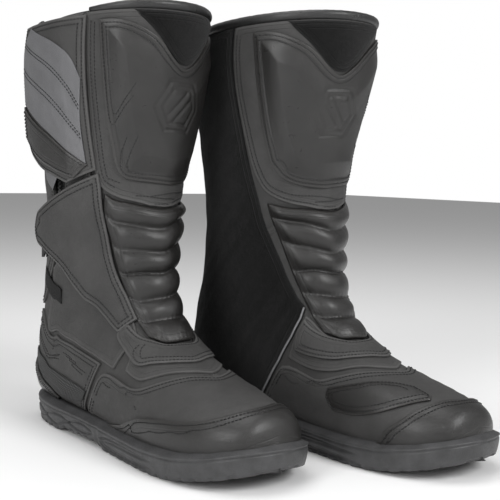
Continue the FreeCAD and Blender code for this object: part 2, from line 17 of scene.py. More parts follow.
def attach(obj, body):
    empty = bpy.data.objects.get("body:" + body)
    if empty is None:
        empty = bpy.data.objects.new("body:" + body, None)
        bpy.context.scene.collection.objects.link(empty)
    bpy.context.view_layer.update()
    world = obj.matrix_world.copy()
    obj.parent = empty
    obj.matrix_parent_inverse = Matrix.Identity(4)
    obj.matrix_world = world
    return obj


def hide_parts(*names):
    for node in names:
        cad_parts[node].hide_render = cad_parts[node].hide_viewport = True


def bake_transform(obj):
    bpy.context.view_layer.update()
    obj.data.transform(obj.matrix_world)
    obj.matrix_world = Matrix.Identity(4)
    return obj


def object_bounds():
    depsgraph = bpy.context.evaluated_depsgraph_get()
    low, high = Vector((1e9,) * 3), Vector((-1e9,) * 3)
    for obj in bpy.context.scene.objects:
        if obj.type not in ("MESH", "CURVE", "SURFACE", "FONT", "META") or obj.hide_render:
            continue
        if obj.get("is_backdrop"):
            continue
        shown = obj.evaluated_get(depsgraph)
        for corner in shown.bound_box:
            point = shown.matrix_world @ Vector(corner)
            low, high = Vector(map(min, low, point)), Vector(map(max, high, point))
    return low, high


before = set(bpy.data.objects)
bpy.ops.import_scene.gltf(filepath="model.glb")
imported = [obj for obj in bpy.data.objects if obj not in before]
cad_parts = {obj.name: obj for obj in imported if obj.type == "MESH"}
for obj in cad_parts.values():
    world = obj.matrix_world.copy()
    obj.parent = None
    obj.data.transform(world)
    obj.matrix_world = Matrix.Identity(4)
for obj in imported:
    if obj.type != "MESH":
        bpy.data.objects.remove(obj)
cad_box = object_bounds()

# %% [markdown]
# ## The form
# A shoemaker builds on a last. This one is a fan of sections from the toe over the heel
# to the rim. Each row gives the front/top and back/bottom points, the height of the
# widest point, the half widths outward and inward, and how full the section is.
# A place on the leather is then a station and an angle: 0 front, 90 outer side, 180 back.

# %% The form's stations
FORM = np.array([
    (-144.0, 31.0, -144.0, 30.0, 0.50, 0.6, 0.6, 2.0, 2.0),
    (-138.5, 46.0, -140.0, 24.0, 0.42, 20.0, 20.0, 2.0, 2.4),
    (-128.5, 52.0, -130.0, 18.0, 0.38, 31.0, 31.0, 2.0, 3.2),
    (-111.0, 57.0, -112.0, 14.0, 0.36, 41.0, 40.5, 2.0, 4.0),
    (-87.0, 63.0, -88.0, 12.0, 0.34, 46.5, 45.5, 2.0, 4.5),
    (-59.0, 71.0, -58.0, 11.0, 0.32, 48.5, 46.0, 2.0, 4.5),
    (-32.0, 82.0, -22.0, 11.0, 0.30, 47.0, 43.0, 2.0, 4.4),
    (-12.0, 97.0, 20.0, 13.0, 0.31, 45.5, 39.5, 2.0, 4.3),
    (-2.0, 114.0, 66.0, 15.0, 0.34, 45.5, 37.5, 2.0, 4.2),
    (2.0, 132.0, 112.0, 17.0, 0.38, 46.0, 37.5, 2.0, 4.0),
    (3.0, 152.0, 145.0, 24.0, 0.42, 46.5, 38.5, 2.0, 3.2),
    (5.0, 177.0, 152.0, 72.0, 0.48, 47.0, 42.0, 2.1, 2.3),
    (7.0, 203.0, 141.0, 119.0, 0.50, 50.0, 46.0, 2.1, 2.1),
    (6.0, 231.0, 135.0, 169.0, 0.50, 53.0, 50.0, 2.1, 2.1),
    (0.0, 259.0, 141.0, 216.0, 0.50, 55.5, 53.5, 2.1, 2.1),
    (-8.0, 287.0, 148.0, 259.0, 0.50, 58.0, 56.5, 2.1, 2.1),
    (-14.0, 311.0, 148.0, 294.0, 0.50, 60.5, 59.0, 2.1, 2.1),
    (-17.0, 332.0, 142.0, 322.0, 0.50, 62.0, 60.0, 2.1, 2.1),
])
PLACES = {"right": (-62.5, 29.78, -2.6), "left": (62.5, -31.22, 2.6)}
MM = 0.001
RIM_STATION = 17


def through(table, t):
    """Smooth values of a table of rows at running indices t."""
    table = np.asarray(table, float)
    t = np.clip(np.asarray(t, float), 0, len(table) - 1)
    i = np.minimum(t.astype(int), len(table) - 2)
    u = (t - i)[..., None]
    ends = np.vstack([2 * table[0] - table[1], table, 2 * table[-1] - table[-2]])
    a, b, c, d = ends[i], ends[i + 1], ends[i + 2], ends[i + 3]
    return 0.5 * (2 * b + (c - a) * u + (2 * a - 5 * b + 4 * c - d) * u ** 2
                  + (3 * b - a - 3 * c + d) * u ** 3)


def on_form(station, angle):
    """Points of the form in boot millimetres."""
    ay, az, by, bz, f, wl, wm, top, low = np.moveaxis(through(FORM, station), -1, 0)
    c, s = np.cos(np.radians(angle)), np.sin(np.radians(angle))
    full = np.where(c >= 0, top, low)
    cc = np.sign(c) * np.abs(c) ** (2 / full)
    ss = np.sign(s) * np.abs(s) ** (2 / full)
    my, mz = by + f * (ay - by), bz + f * (az - bz)
    reach_y, reach_z = np.where(c >= 0, ay - my, my - by), np.where(c >= 0, az - mz, mz - bz)
    return np.stack([np.where(s >= 0, wl, wm) * ss, my + reach_y * cc, mz + reach_z * cc], -1)


def normal_at(station, angle):
    station = np.asarray(station, float)
    angle = np.asarray(angle, float)
    above, below = np.minimum(station + 0.06, RIM_STATION), np.maximum(station - 0.06, 0.02)
    along = on_form(above, angle) - on_form(below, angle)
    around = on_form(station, angle + 1.5) - on_form(station, angle - 1.5)
    n = np.cross(around, along)
    n /= np.maximum(np.linalg.norm(n, axis=-1, keepdims=True), 1e-9)
    ease = np.clip(station / 0.25, 0, 1)[..., None]
    n = n * ease + np.array([0, -1.0, 0]) * (1 - ease)
    return n / np.linalg.norm(n, axis=-1, keepdims=True)


def wrap(station, angle, lift):
    lift = np.asarray(lift, float)
    return on_form(station, angle) + normal_at(station, angle) * lift[..., None]


print("collar height", round(float(on_form(17.0, 0.0)[2]), 1), "mm")

# %% [markdown]
# ## Cutting leather
# A pattern cutter draws flat pieces, and the laster pulls them over the form. Here a
# piece is a net of (station, angle) marks. A grid from bmesh takes its smooth outline
# from the net, and each vertex is laid on the form and lifted by the piece's padding.
# The distance to the piece's edges is kept on the mesh, because folds, needle rows and
# wear with its painted highlight all follow the edges.

# %% A cut piece of leather
class Cut:
    """Rows of (station, angle) marks; edges are 0 first row, 1 last row, 2 left, 3 right."""

    def __init__(self, rows, lift=0.0, stop=400.0):
        self.rows = np.array(rows, float)
        self.lift = lift
        self.stop = stop
        e = np.linspace(0, 1, 241)
        o, l = np.zeros_like(e), np.ones_like(e)
        self.rim = [self.base(*p) for p in ((o, e), (l, e), (e, o), (e, l))]

    def marks(self, t, s):
        t, s = np.atleast_1d(np.asarray(t, float)), np.atleast_1d(np.asarray(s, float))
        r, c = self.rows.shape[:2]
        w = np.einsum("nr,nc,rcd->nd", through(np.eye(r), t * (r - 1)),
                      through(np.eye(c), s * (c - 1)), self.rows)
        return w[:, 0], np.clip(w[:, 1], -self.stop, self.stop)

    def base(self, t, s):
        return on_form(*self.marks(t, s))

    def gaps(self, p):
        out = []
        for rim in self.rim:
            near = [np.min(np.linalg.norm(part[:, None] - rim[None], axis=2), axis=1)
                    for part in np.array_split(p, max(1, len(p) // 400))]
            out.append(np.concatenate(near))
        return np.array(out).T

    def at(self, t, s, extra=0.0):
        v, a = self.marks(t, s)
        p = on_form(v, a)
        rise = self.lift
        if callable(rise):
            rise = rise(np.atleast_1d(t), np.atleast_1d(s), self.gaps(p), v, a)
        return p + normal_at(v, a) * (np.zeros(len(p)) + rise + extra)[:, None]

    def size(self):
        e = np.linspace(0, 1, 33)
        h = np.full_like(e, 0.5)
        length = lambda p: float(np.sum(np.linalg.norm(np.diff(p, axis=0), axis=1)))
        return length(self.base(e, h)), length(self.base(h, e))

    def mesh(self, pitch=3.0):
        """The piece as a bmesh in boot millimetres, with its edge distance and its weave map."""
        high, wide = self.size()
        m, n = max(4, round(high / pitch)), max(4, round(wide / pitch))
        bm = bmesh.new()
        bmesh.ops.create_grid(bm, x_segments=m, y_segments=n, size=1)
        bm.verts.index_update()
        bm.faces.ensure_lookup_table()
        flat = np.array([v.co[:2] for v in bm.verts])
        t, s = (flat[:, 0] + 1) / 2, (flat[:, 1] + 1) / 2
        place = self.at(t, s)
        near = np.min(self.gaps(self.base(t, s)), axis=1)
        edge = bm.verts.layers.float.new("edge")
        weave = bm.loops.layers.uv.new("weave")
        for v, p, d in zip(bm.verts, place, near):
            v.co = p
            v[edge] = d
        for f in bm.faces:
            for loop in f.loops:
                k = loop.vert.index
                loop[weave].uv = (t[k] * high * MM, s[k] * wide * MM)
        middle = bm.faces[len(bm.faces) // 2]
        middle.normal_update()
        c = middle.calc_center_median()
        k = middle.verts[0].index
        out = normal_at(*self.marks(t[k], s[k]))[0]
        if middle.normal.dot(Vector(out)) < 0:
            bmesh.ops.reverse_faces(bm, faces=bm.faces)
        bm.normal_update()
        return bm


print("one station is about", round(float(np.linalg.norm(on_form(14.0, 0.0) - on_form(13.0, 0.0))), 1), "mm")

# %% [markdown]
# ## Left and right
# The two boots are mirror images. A piece is modelled once; the right copy is mirrored
# and its faces turned back outward, and both are set down in their places. A Solidify
# modifier gives leather its thickness and a small Bevel rounds the folded edge.

# %% Place a piece on both boots
SET = {}
for side, (px, py, turn) in PLACES.items():
    mirror = Matrix.Diagonal((-1 if side == "right" else 1, 1, 1, 1))
    SET[side] = (Matrix.Translation((px * MM, py * MM, 0)) @ Matrix.Rotation(math.radians(turn), 4, "Z")
                 @ mirror @ Matrix.Scale(MM, 4))


def pair(name, bm, finish, body="boot", nodes=None, thick=0.0, fold=0.0,
         sides=("right", "left"), smooth=True, ride=True):
    """Both boots' copies of one bmesh; a piece named like a solid stands for that solid."""
    made = []
    if nodes is None:
        nodes = [name] if "left_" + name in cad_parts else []
    for side in sides:
        mesh = bpy.data.meshes.new(side + "_" + name)
        copy = bm.copy()
        bmesh.ops.transform(copy, matrix=SET[side], verts=copy.verts)
        if side == "right":
            bmesh.ops.reverse_faces(copy, faces=copy.faces)
        copy.to_mesh(mesh)
        copy.free()
        mesh.materials.append(finish)
        if smooth:
            mesh.shade_smooth()
        piece = bpy.data.objects.new(side + "_" + name, mesh)
        bpy.context.scene.collection.objects.link(piece)
        if thick:
            wall = piece.modifiers.new("thickness", "SOLIDIFY")
            wall.thickness = thick * MM
            wall.offset = -1
        if fold:
            roll = piece.modifiers.new("fold", "BEVEL")
            roll.width = fold * MM
            roll.segments = 2
            roll.limit_method = "ANGLE"
            roll.angle_limit = math.radians(50)
        if ride:
            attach(piece, side + "_" + body)
        if nodes:
            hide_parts(*[side + "_" + node_name for node_name in nodes])
        made.append(piece)
    bm.free()
    return made


print("right boot turned", PLACES["right"][2], "degrees")

# %% [markdown]
# ## Needle rows
# A seam on a boot is a row of short raised threads, each end pulled into the leather.
# One stitch is a small six-sided bead stretched along the row. A row follows an edge of
# a cut piece at a set distance, which is how a walking foot guides the needle.

# %% Stitches
THREADS = {"boot": bmesh.new(), "flap": bmesh.new()}
PITCH = 2.7


def sew_line(points, normals, body="boot", pitch=PITCH, wide=0.42):
    """Lay stitches along a polyline of boot-frame points, lifting the needle over gaps."""
    step = np.linalg.norm(np.diff(points, axis=0), axis=1)
    if len(step) and step.max() > 4.5:
        k = int(np.argmax(step)) + 1
        sew_line(points[:k], normals[:k], body, pitch, wide)
        sew_line(points[k:], normals[k:], body, pitch, wide)
        return
    if len(points) < 3:
        return
    run = np.concatenate([[0], np.cumsum(step)])
    count = int(run[-1] / pitch)
    if count < 1:
        return
    spots = (np.arange(count) + 0.5) * run[-1] / count
    centre = np.stack([np.interp(spots, run, points[:, k]) for k in range(3)], 1)
    ahead = np.stack([np.interp(spots + 0.5, run, points[:, k]) for k in range(3)], 1)
    behind = np.stack([np.interp(spots - 0.5, run, points[:, k]) for k in range(3)], 1)
    up = np.stack([np.interp(spots, run, normals[:, k]) for k in range(3)], 1)
    bm = THREADS[body]
    for c, d, n in zip(centre, ahead - behind, up):
        x = Vector(d).normalized()
        z = Vector(n).normalized()
        y = z.cross(x).normalized()
        z = x.cross(y)
        turn = Matrix((x, y, z)).transposed().to_4x4()
        place = Matrix.Translation(c) @ turn @ Matrix.Diagonal((pitch * 0.42, wide, wide, 1))
        bmesh.ops.create_icosphere(bm, subdivisions=1, radius=1, matrix=place)


def sew(cut, edge, inset=2.4, rows=2, apart=3.4, start=0.0, end=1.0, body="boot", rise=0.15):
    """Rows of stitches along one edge of a cut piece."""
    for k in range(rows):
        d = inset + k * apart
        e = np.linspace(start, end, 161)
        h = 0.004
        zero = np.zeros_like(e)
        if edge < 2:
            t, s, dt, ds = zero + edge, e, (h if edge == 0 else -h), 0.0
            along = cut.base(t, np.minimum(s + h, 1)) - cut.base(t, np.maximum(s - h, 0))
        else:
            t, s, dt, ds = e, zero + (edge - 2), 0.0, (h if edge == 2 else -h)
            along = cut.base(np.minimum(t + h, 1), s) - cut.base(np.maximum(t - h, 0), s)
        inward = (cut.base(t + dt, s + ds) - cut.base(t, s)) / h
        unit = along / np.maximum(np.linalg.norm(along, axis=1, keepdims=True), 1e-9)
        slide = np.sum(inward * unit, axis=1)
        square = np.linalg.norm(inward - unit * slide[:, None], axis=1)
        a = d / np.maximum(square, 1e-6)
        b = -a * slide / np.maximum(np.linalg.norm(along, axis=1) / (2 * h), 1e-6)
        if edge < 2:
            t2, s2 = np.where(edge == 0, a, 1 - a), s + b
        else:
            t2, s2 = t + b, np.where(edge == 2, a, 1 - a)
        keep = (t2 > 0.0) & (t2 < 1.0) & (s2 > 0.0) & (s2 < 1.0)
        t2, s2 = t2[keep], s2[keep]
        sides = cut.gaps(cut.base(t2, s2))
        others = [j for j in range(4) if j != edge]
        clear = np.min(sides[:, others], axis=1) > d * 0.75
        if np.count_nonzero(clear) < 3:
            continue
        t2, s2 = t2[clear], s2[clear]
        sew_line(cut.at(t2, s2, rise), normal_at(*cut.marks(t2, s2)), body)


def sew_across(cut, t, s, body="boot", rise=0.15):
    """Stitches along a free line inside a piece, given by its two running values."""
    sew_line(cut.at(t, s, rise), normal_at(*cut.marks(t, s)), body)


print("needle pitch", PITCH, "mm")

# %% [markdown]
# ## Finishes
# Every finish is procedural and reads object coordinates, the weave map or the edge
# distance. Leather is a base tone broken by cloudy variation, a cell-like grain in the
# bump, and pale edge bands: partly wear, partly painted highlight by fold and stitches.

# %% Node helpers
def finish(name):
    mat = bpy.data.materials.new(name)
    mat.use_nodes = True
    tree = mat.node_tree
    return mat, tree, tree.nodes["Principled BSDF"]


def node(tree, kind, **values):
    made = tree.nodes.new(kind)
    for key, value in values.items():
        if key in made.inputs:
            made.inputs[key].default_value = value
        else:
            setattr(made, key, value)
    return made


def ramp(tree, source, stops, smooth=False):
    """A colour or value ramp; stops are (place, grey or colour)."""
    made = tree.nodes.new("ShaderNodeValToRGB")
    if smooth:
        made.color_ramp.interpolation = "EASE"
    points = made.color_ramp.elements
    while len(points) < len(stops):
        points.new(0.5)
    for point, (place, tone) in zip(points, stops):
        point.position = place
        point.color = (tone, tone, tone, 1) if isinstance(tone, (int, float)) else (*tone, 1)
    tree.links.new(source, made.inputs[0])
    return made.outputs[0]


def maths(tree, how, a, b=None):
    made = node(tree, "ShaderNodeMath", operation=how)
    for k, value in enumerate((a, b)):
        if value is None:
            continue
        if isinstance(value, (int, float)):
            made.inputs[k].default_value = value
        else:
            tree.links.new(value, made.inputs[k])
    return made.outputs[0]


def coat(tree, shader, heights, depth):
    """Bump from a sum of (height socket, share)."""
    total = None
    for socket, share in heights:
        part = maths(tree, "MULTIPLY", socket, share)
        total = part if total is None else maths(tree, "ADD", total, part)
    bump = node(tree, "ShaderNodeBump", Strength=1.0, Distance=depth)
    tree.links.new(total, bump.inputs["Height"])
    tree.links.new(bump.outputs[0], shader.inputs["Normal"])


def leather(name, dark, pale, rough, grain=1500, depth=0.00025, crease=0.5, shine=0.0,
            warm=1.0, edge_wear_and_highlight=0.5):
    """A hide: cell grain, cloudy tone, creases, and pale bands along its edges that are partly wear, partly
    painted highlight.
    """
    mat, tree, shader = finish(name)
    spot = node(tree, "ShaderNodeTexCoord").outputs["Object"]
    cloud = node(tree, "ShaderNodeTexNoise", Scale=38.0, Detail=5.0, Roughness=0.6)
    cell = node(tree, "ShaderNodeTexVoronoi", feature="DISTANCE_TO_EDGE", Scale=float(grain))
    pore = node(tree, "ShaderNodeTexNoise", Scale=grain * 1.7, Detail=2.0)
    fold = node(tree, "ShaderNodeTexNoise", Scale=150.0, Detail=6.0, Roughness=0.55, Distortion=1.2)
    for texture in (cloud, cell, pore, fold):
        tree.links.new(spot, texture.inputs["Vector"])
    d = node(tree, "ShaderNodeAttribute", attribute_name="edge").outputs["Fac"]
    near = maths(tree, "DIVIDE", d, 12.0)
    # pale bands just inside the fold and just past the first needle row: partly edge wear, partly painted
    # highlight
    wear_and_highlight = ramp(tree, near, [(0.0, 0.25), (0.06, 1.0), (0.16, 0.45), (0.2, 0.0), (0.27, 0.35),
                            (0.45, 0.0)])
    tone = ramp(tree, cloud.outputs["Fac"], [(0.3, (dark * warm, dark, dark / warm)),
                                             (0.72, (pale * warm, pale, pale / warm))])
    mix = node(tree, "ShaderNodeMix", data_type="RGBA", blend_type="MIX")
    tree.links.new(maths(tree, "MULTIPLY", wear_and_highlight, edge_wear_and_highlight), mix.inputs[0])
    tree.links.new(tone, mix.inputs[6])
    # the paler tone of those bands, for wear and painted highlight
    mix.inputs[7].default_value = (pale * 2.1 * warm, pale * 2.1, pale * 2.1 / warm, 1)
    tree.links.new(mix.outputs[2], shader.inputs["Base Color"])
    tree.links.new(ramp(tree, fold.outputs["Fac"], [(0.3, rough - 0.07), (0.7, rough + 0.08)]),
                   shader.inputs["Roughness"])
    shader.inputs["Coat Weight"].default_value = shine
    shader.inputs["Coat Roughness"].default_value = 0.32
    cells = ramp(tree, cell.outputs["Distance"], [(0.0, 0.0), (0.25, 1.0)], True)
    needle = ramp(tree, near, [(0.0, 0.2), (0.05, 1.0), (0.17, 1.0), (0.215, 0.0), (0.26, 1.0),
                               (0.45, 1.0), (0.5, 0.0), (0.55, 1.0)])
    coat(tree, shader, [(cells, 0.30), (pore.outputs["Fac"], 0.15), (fold.outputs["Fac"], crease),
                        (needle, 0.9)], depth)
    return mat


print("finish helpers ready")

# %% The finishes
# every hide gets pale edge bands, partly wear and partly painted highlight: suede more, the binding none
MATTE = leather("matte leather", 0.034, 0.052, 0.62, grain=1100, crease=0.9, warm=1.02)
SMOOTH = leather("smooth leather", 0.0110, 0.0190, 0.34, grain=1700, depth=0.00016, crease=0.7,
                 shine=0.22, warm=1.05)
SUEDE = leather("suede", 0.0040, 0.0085, 0.93, grain=2600, depth=0.0005, crease=1.6, edge_wear_and_highlight=0.8)
nap = SUEDE.node_tree.nodes["Principled BSDF"].inputs
for socket, value in (("Sheen Weight", 0.12), ("Sheen Roughness", 0.45), ("Specular IOR Level", 0.15)):
    nap[socket].default_value = value
BINDING = leather("binding leather", 0.010, 0.017, 0.33, grain=1800, depth=0.00018, crease=1.2,
                  shine=0.3, edge_wear_and_highlight=0.0)


def woven(name, dark, pale, rough, scale, depth=0.0002, metal=0.0, fuzz=0.0):
    """A plain weave on the weave map."""
    mat, tree, shader = finish(name)
    uv = node(tree, "ShaderNodeUVMap", uv_map="weave").outputs["UV"]
    warp, weft = [node(tree, "ShaderNodeTexWave", wave_type="BANDS", bands_direction=way,
                       Scale=scale, Distortion=0.4) for way in "XY"]
    blot = node(tree, "ShaderNodeTexNoise", Scale=60.0, Detail=4.0)
    for texture in (warp, weft, blot):
        tree.links.new(uv, texture.inputs["Vector"])
    cross = maths(tree, "MULTIPLY", warp.outputs["Fac"], weft.outputs["Fac"])
    spread = maths(tree, "ADD", maths(tree, "MULTIPLY", cross, 0.6),
                   maths(tree, "MULTIPLY", blot.outputs["Fac"], 0.5))
    tree.links.new(ramp(tree, spread, [(0.15, dark), (0.85, pale)]), shader.inputs["Base Color"])
    shader.inputs["Roughness"].default_value = rough
    shader.inputs["Metallic"].default_value = metal
    shader.inputs["Sheen Weight"].default_value = fuzz
    coat(tree, shader, [(cross, 1.0), (blot.outputs["Fac"], 0.4)], depth)
    return mat


REFLECT = woven("reflective fabric", (0.13, 0.13, 0.135), (0.24, 0.24, 0.25), 0.5, 420.0, 0.00012, 0.35)
MESH = woven("window mesh", 0.003, 0.03, 0.85, 170.0, 0.0008, 0.0, 0.15)
LINING = woven("lining knit", 0.006, 0.022, 0.9, 260.0, 0.0004, 0.0, 0.2)
TAPE = woven("zip tape", 0.005, 0.02, 0.8, 500.0, 0.0002)


def plain(name, dark, pale, rough, scale=220.0, depth=0.00012, metal=0.0, spread=0.1):
    """Moulded or metal stuff with a cloudy tone and a fine broken surface."""
    mat, tree, shader = finish(name)
    spot = node(tree, "ShaderNodeTexCoord").outputs["Object"]
    blot = node(tree, "ShaderNodeTexNoise", Scale=scale, Detail=6.0, Roughness=0.6)
    dust = node(tree, "ShaderNodeTexNoise", Scale=scale * 9, Detail=3.0)
    tree.links.new(spot, blot.inputs["Vector"])
    tree.links.new(spot, dust.inputs["Vector"])
    tree.links.new(ramp(tree, blot.outputs["Fac"], [(0.35, dark), (0.7, pale)]), shader.inputs["Base Color"])
    tree.links.new(ramp(tree, dust.outputs["Fac"], [(0.3, rough - spread), (0.7, rough + spread)]),
                   shader.inputs["Roughness"])
    shader.inputs["Metallic"].default_value = metal
    coat(tree, shader, [(blot.outputs["Fac"], 0.5), (dust.outputs["Fac"], 0.5)], depth)
    return mat


RUBBER = plain("sole rubber", (0.036, 0.036, 0.037), (0.060, 0.060, 0.062), 0.5, 90.0, 0.0002)
# near-black thread: its own dark colour, darkened further as painted shade of the needle pits
THREAD_AND_PIT_SHADE = plain("thread", (0.0035, 0.0035, 0.0036), (0.011, 0.011, 0.012), 0.5, 900.0, 0.0001)
PIPING = plain("grey piping", (0.16, 0.16, 0.165), (0.26, 0.26, 0.27), 0.6, 500.0, 0.0001)
ZIPMETAL = plain("zip metal", (0.10, 0.10, 0.105), (0.22, 0.22, 0.23), 0.35, 400.0, 0.00005, 1.0)
ZIPTEETH = plain("zip teeth", 0.012, 0.03, 0.4, 400.0, 0.00005)
FOAM = plain("foam", (0.05, 0.05, 0.052), (0.09, 0.09, 0.092), 0.9, 700.0, 0.0004)
BOARD = plain("fibre board", (0.10, 0.085, 0.06), (0.17, 0.14, 0.10), 0.85, 300.0, 0.0002)
STEEL = plain("shank steel", (0.35, 0.35, 0.36), (0.5, 0.5, 0.51), 0.35, 300.0, 0.00005, 1.0)
PLASTIC = plain("stiffener plastic", (0.03, 0.03, 0.032), (0.06, 0.06, 0.062), 0.5, 300.0, 0.0001)
FUZZ = plain("loop pile", 0.004, 0.022, 0.95, 1500.0, 0.0012)
HOOK = plain("hook tape", 0.006, 0.02, 0.6, 1200.0, 0.0006)
print("finishes", len(bpy.data.materials))

# %% [markdown]
# ## Hidden inner parts
# Shank, boards, toe puff and counter are sealed between upper and lining. Their solids
# already have the right shape, so they stay and only get their real stuff.

# %% Inner parts and zip metal
for side in ("right", "left"):
    for name, stuff in (("midsole", FOAM), ("shank", STEEL), ("insole_board", BOARD), ("stiffeners", PLASTIC),
                        ("zip_slider", ZIPMETAL), ("zip_pull", ZIPMETAL)):
        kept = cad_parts[side + "_" + name]
        kept.data.materials.clear()
        kept.data.materials.append(stuff)
print("kept solids per boot", 6)

# %% [markdown]
# ## The base of the upper
# Panels of the upper are sewn edge to edge. Each is the same net of marks as its solid,
# laid again at a fine pitch so that its fold and its needle rows can follow it. The
# vamp wraps the forefoot, the quarter and the suede panel the sides.

# %% Base panels
BACK_SEAM = 179.2
HIDE, TURNED = 3.0, 1.0
OVERLAY, EDGE = 1.9, 0.8


def bottom_edge(v):
    return float(np.interp(v, (7.6, 8.0, 8.5, 9.0, 9.4, 9.7, 9.8), (128, 130, 136, 145, 155, 170, 179)))


def soft(size, rise, fall=7.0):
    """Padding that swells from a flat border: size in mm, over a rim of fall mm."""
    def lift(t, s, gaps, v, a):
        near = np.clip(np.min(gaps, axis=1) / fall, 0, 1)
        return size + rise * (1 - (1 - near) ** 2)
    return lift


def creased(base, amount, scale=0.05):
    """Slow uneven dents on top of another lift, so that no hide looks machined."""
    def lift(t, s, gaps, v, a):
        start = base(t, s, gaps, v, a) if callable(base) else np.zeros(len(t)) + base
        wave = (np.sin(v * 5.1 + a * scale * 1.7) * np.sin(a * scale * 2.3 - v * 2.2)
                + 0.5 * np.sin(v * 11.3 - a * scale * 4.1 + 1.3))
        return start + amount * wave * np.clip(np.min(gaps, axis=1) / 8.0, 0, 1)
    return lift


tops = [(127, 7.5), (110, 7.5), (90, 7.48), (78, 7.4), (72, 7.1), (68, 6.3), (62, 5.8), (50, 5.4), (35, 5.05),
        (18, 4.75), (2, 4.45), (-14, 4.65), (-28, 5.0), (-42, 5.4), (-56, 5.85), (-66, 6.3), (-70, 7.1),
        (-76, 7.55), (-90, 7.6), (-110, 7.6), (-127, 7.6)]
vamp = Cut([[(v, a) for v in (0.02, 1.2, 2.4, 2.4 + (end - 2.4) * 0.5, end)] for a, end in tops],
           creased(0.0, 0.28))
sew(vamp, 3)
pair("vamp", vamp.mesh(2.6), MATTE, thick=HIDE, fold=TURNED)

quarter_edge = [(7.62, 72), (8.5, 77.5), (9.4, 84), (9.8, 88), (10.1, 92), (10.55, 104), (11.0, 121),
                (11.25, 145)]
quarter = Cut([[(v, a), (v, 0.5 * (a + bottom_edge(v))), (v, bottom_edge(v))] for v, a in quarter_edge],
              creased(0.0, 0.25), BACK_SEAM)
sew(quarter, 2)
sew(quarter, 2, inset=14.5, start=0.1)
sew(quarter, 0)
pair("lateral_quarter", quarter.mesh(2.8), MATTE, thick=HIDE, fold=TURNED)

front_leaf = Cut([[(16.88, 64), (16.88, 82)], [(15, 63), (15, 82)], [(13.4, 58), (13.4, 82)],
                  [(12.3, 57), (12.3, 82.5)], [(11.52, 56), (11.52, 83)]])
lower_leaf = Cut([[(11.45, 51), (11.45, 75), (11.45, 98)], [(11.0, 48), (11.0, 74), (10.85, 98)],
                  [(10.45, 44), (10.45, 72), (10.45, 99)], [(10.0, 41), (10.0, 66), (10.0, 88)],
                  [(9.3, 38), (9.3, 62), (9.3, 81)], [(8.4, 35), (8.4, 58), (8.4, 75)],
                  [(7.6, 33), (7.6, 54), (7.6, 70)], [(7.05, 35), (7.05, 53), (7.05, 67)]], creased(0.0, 0.2))
pair("lateral_panel", lower_leaf.mesh(2.8), MATTE, thick=HIDE, fold=TURNED)
sew(front_leaf, 3, inset=2.2, rows=1)
pair("zip_leaf_front", front_leaf.mesh(3.5), MATTE, thick=HIDE, fold=TURNED)

rear_foot = ((98, 11.5, 98), (110, 11.08, 110), (121, 11.14, 123), (140, 11.33, 142), (160, 11.4, 160),
             (179, 11.4, 179))
rear = Cut([[(16.88, a), (14, a), (12, a), (v, foot)] for a, v, foot in rear_foot], creased(0.0, 0.3))
sew(rear, 0, inset=2.2, rows=1)
sew(rear, 1)
sew(rear, 3)
pair("rear_panel", rear.mesh(3.0), MATTE, thick=HIDE, fold=TURNED)

medial_edge = [(7.7, -74), (7.85, -58), (8.2, -38), (8.95, -40), (10.15, -46), (11.05, -55), (11.75, -62),
               (12.4, -67), (13.15, -73.5), (14.0, -79), (15.05, -85), (16.0, -88), (16.88, -89)]
medial = Cut([[(v, a + (-bottom_edge(v) - a) * k / 3) for k in range(4)] for v, a in medial_edge],
             creased(0.0, 0.35), BACK_SEAM)
sew(medial, 3, start=0.35)
pair("medial_panel", medial.mesh(3.0), SUEDE, thick=HIDE, fold=TURNED)

border = Cut([[(11.35, 9), (11.3, -4), (11.38, -16)], [(11.75, 31), (11.5, -3), (11.75, -36)],
              [(12.2, 46), (11.9, -4), (12.2, -53)], [(12.6, 52), (12.5, -6), (12.6, -63)],
              [(13.2, 55), (13.2, -8), (13.2, -71)], [(14, 58), (14, -9), (14, -77)],
              [(15, 61), (15, -10), (15, -83)], [(16, 62), (16, -11), (16, -86)],
              [(16.88, 62), (16.88, -12), (16.88, -87)]], creased(0.4, 0.2))
sew(border, 2, inset=5.2, start=0.2, end=0.97)
sew(border, 3, start=0.03, end=0.97)
sew(border, 0)
pair("shin_border", border.mesh(2.6), MATTE, thick=3.2, fold=1.0)
# a thin sheet behind the seams, so that no gap between two panels shows daylight
for part, stations, first, turn in (("foot", np.linspace(0.05, 11.5, 24), 0, 60),
                                    ("leg", np.linspace(11.3, 16.86, 12), 98.5, 57.2)):
    backing = Cut([[(v, first + turn * k) for k in range(7)] for v in stations], -1.7, 500)
    pair("backing_" + part, backing.mesh(4.0), MATTE, thick=1.0)
print("base panels", 7, "stitches so far", len(THREADS["boot"].verts) // 12)

# %% [markdown]
# ## Toe cap, heel cup, cuff
# These are second layers: 2 mm glossy leather folded at its edge and sewn on with two
# rows. The toe cap is smooth and tight over the puff, so it shows broad highlights.

# %% Sewn-on layers
cap_edge = [(127, 6.9), (110, 6.6), (94, 6.0), (82, 5.2), (74, 4.4), (66, 3.6), (53, 2.85), (35, 2.35),
            (15, 2.1), (-5, 2.12), (-22, 2.4), (-37, 2.65), (-53, 2.95), (-69, 3.25), (-85, 3.65),
            (-103, 4.0), (-127, 4.4)]
cap = Cut([[(v, a) for v in (0.0, 0.6, 1.2, 1.2 + (end - 1.2) * 0.5, end)] for a, end in cap_edge], 2.3)
sew(cap, 3)
pair("toe_cap", cap.mesh(2.2), SMOOTH, thick=OVERLAY, fold=EDGE)

cup = Cut([[(8.62, 124), (8.62, 129), (8.62, 136)], [(9.0, 118), (9.0, 131), (9.0, 144)],
           [(9.4, 116), (9.4, 136), (9.4, 155)], [(9.75, 116), (9.75, 146), (9.75, 176)],
           [(9.9, 118), (9.9, 162), (9.9, 206)], [(10.15, 124), (10.15, 168), (10.15, 212)],
           [(10.4, 138), (10.4, 172), (10.4, 206)]], 2.3)
sew(cup, 2, inset=2.2)
sew(cup, 1, inset=2.2)
pair("heel_cup", cup.mesh(2.2), SMOOTH, thick=OVERLAY, fold=EDGE)

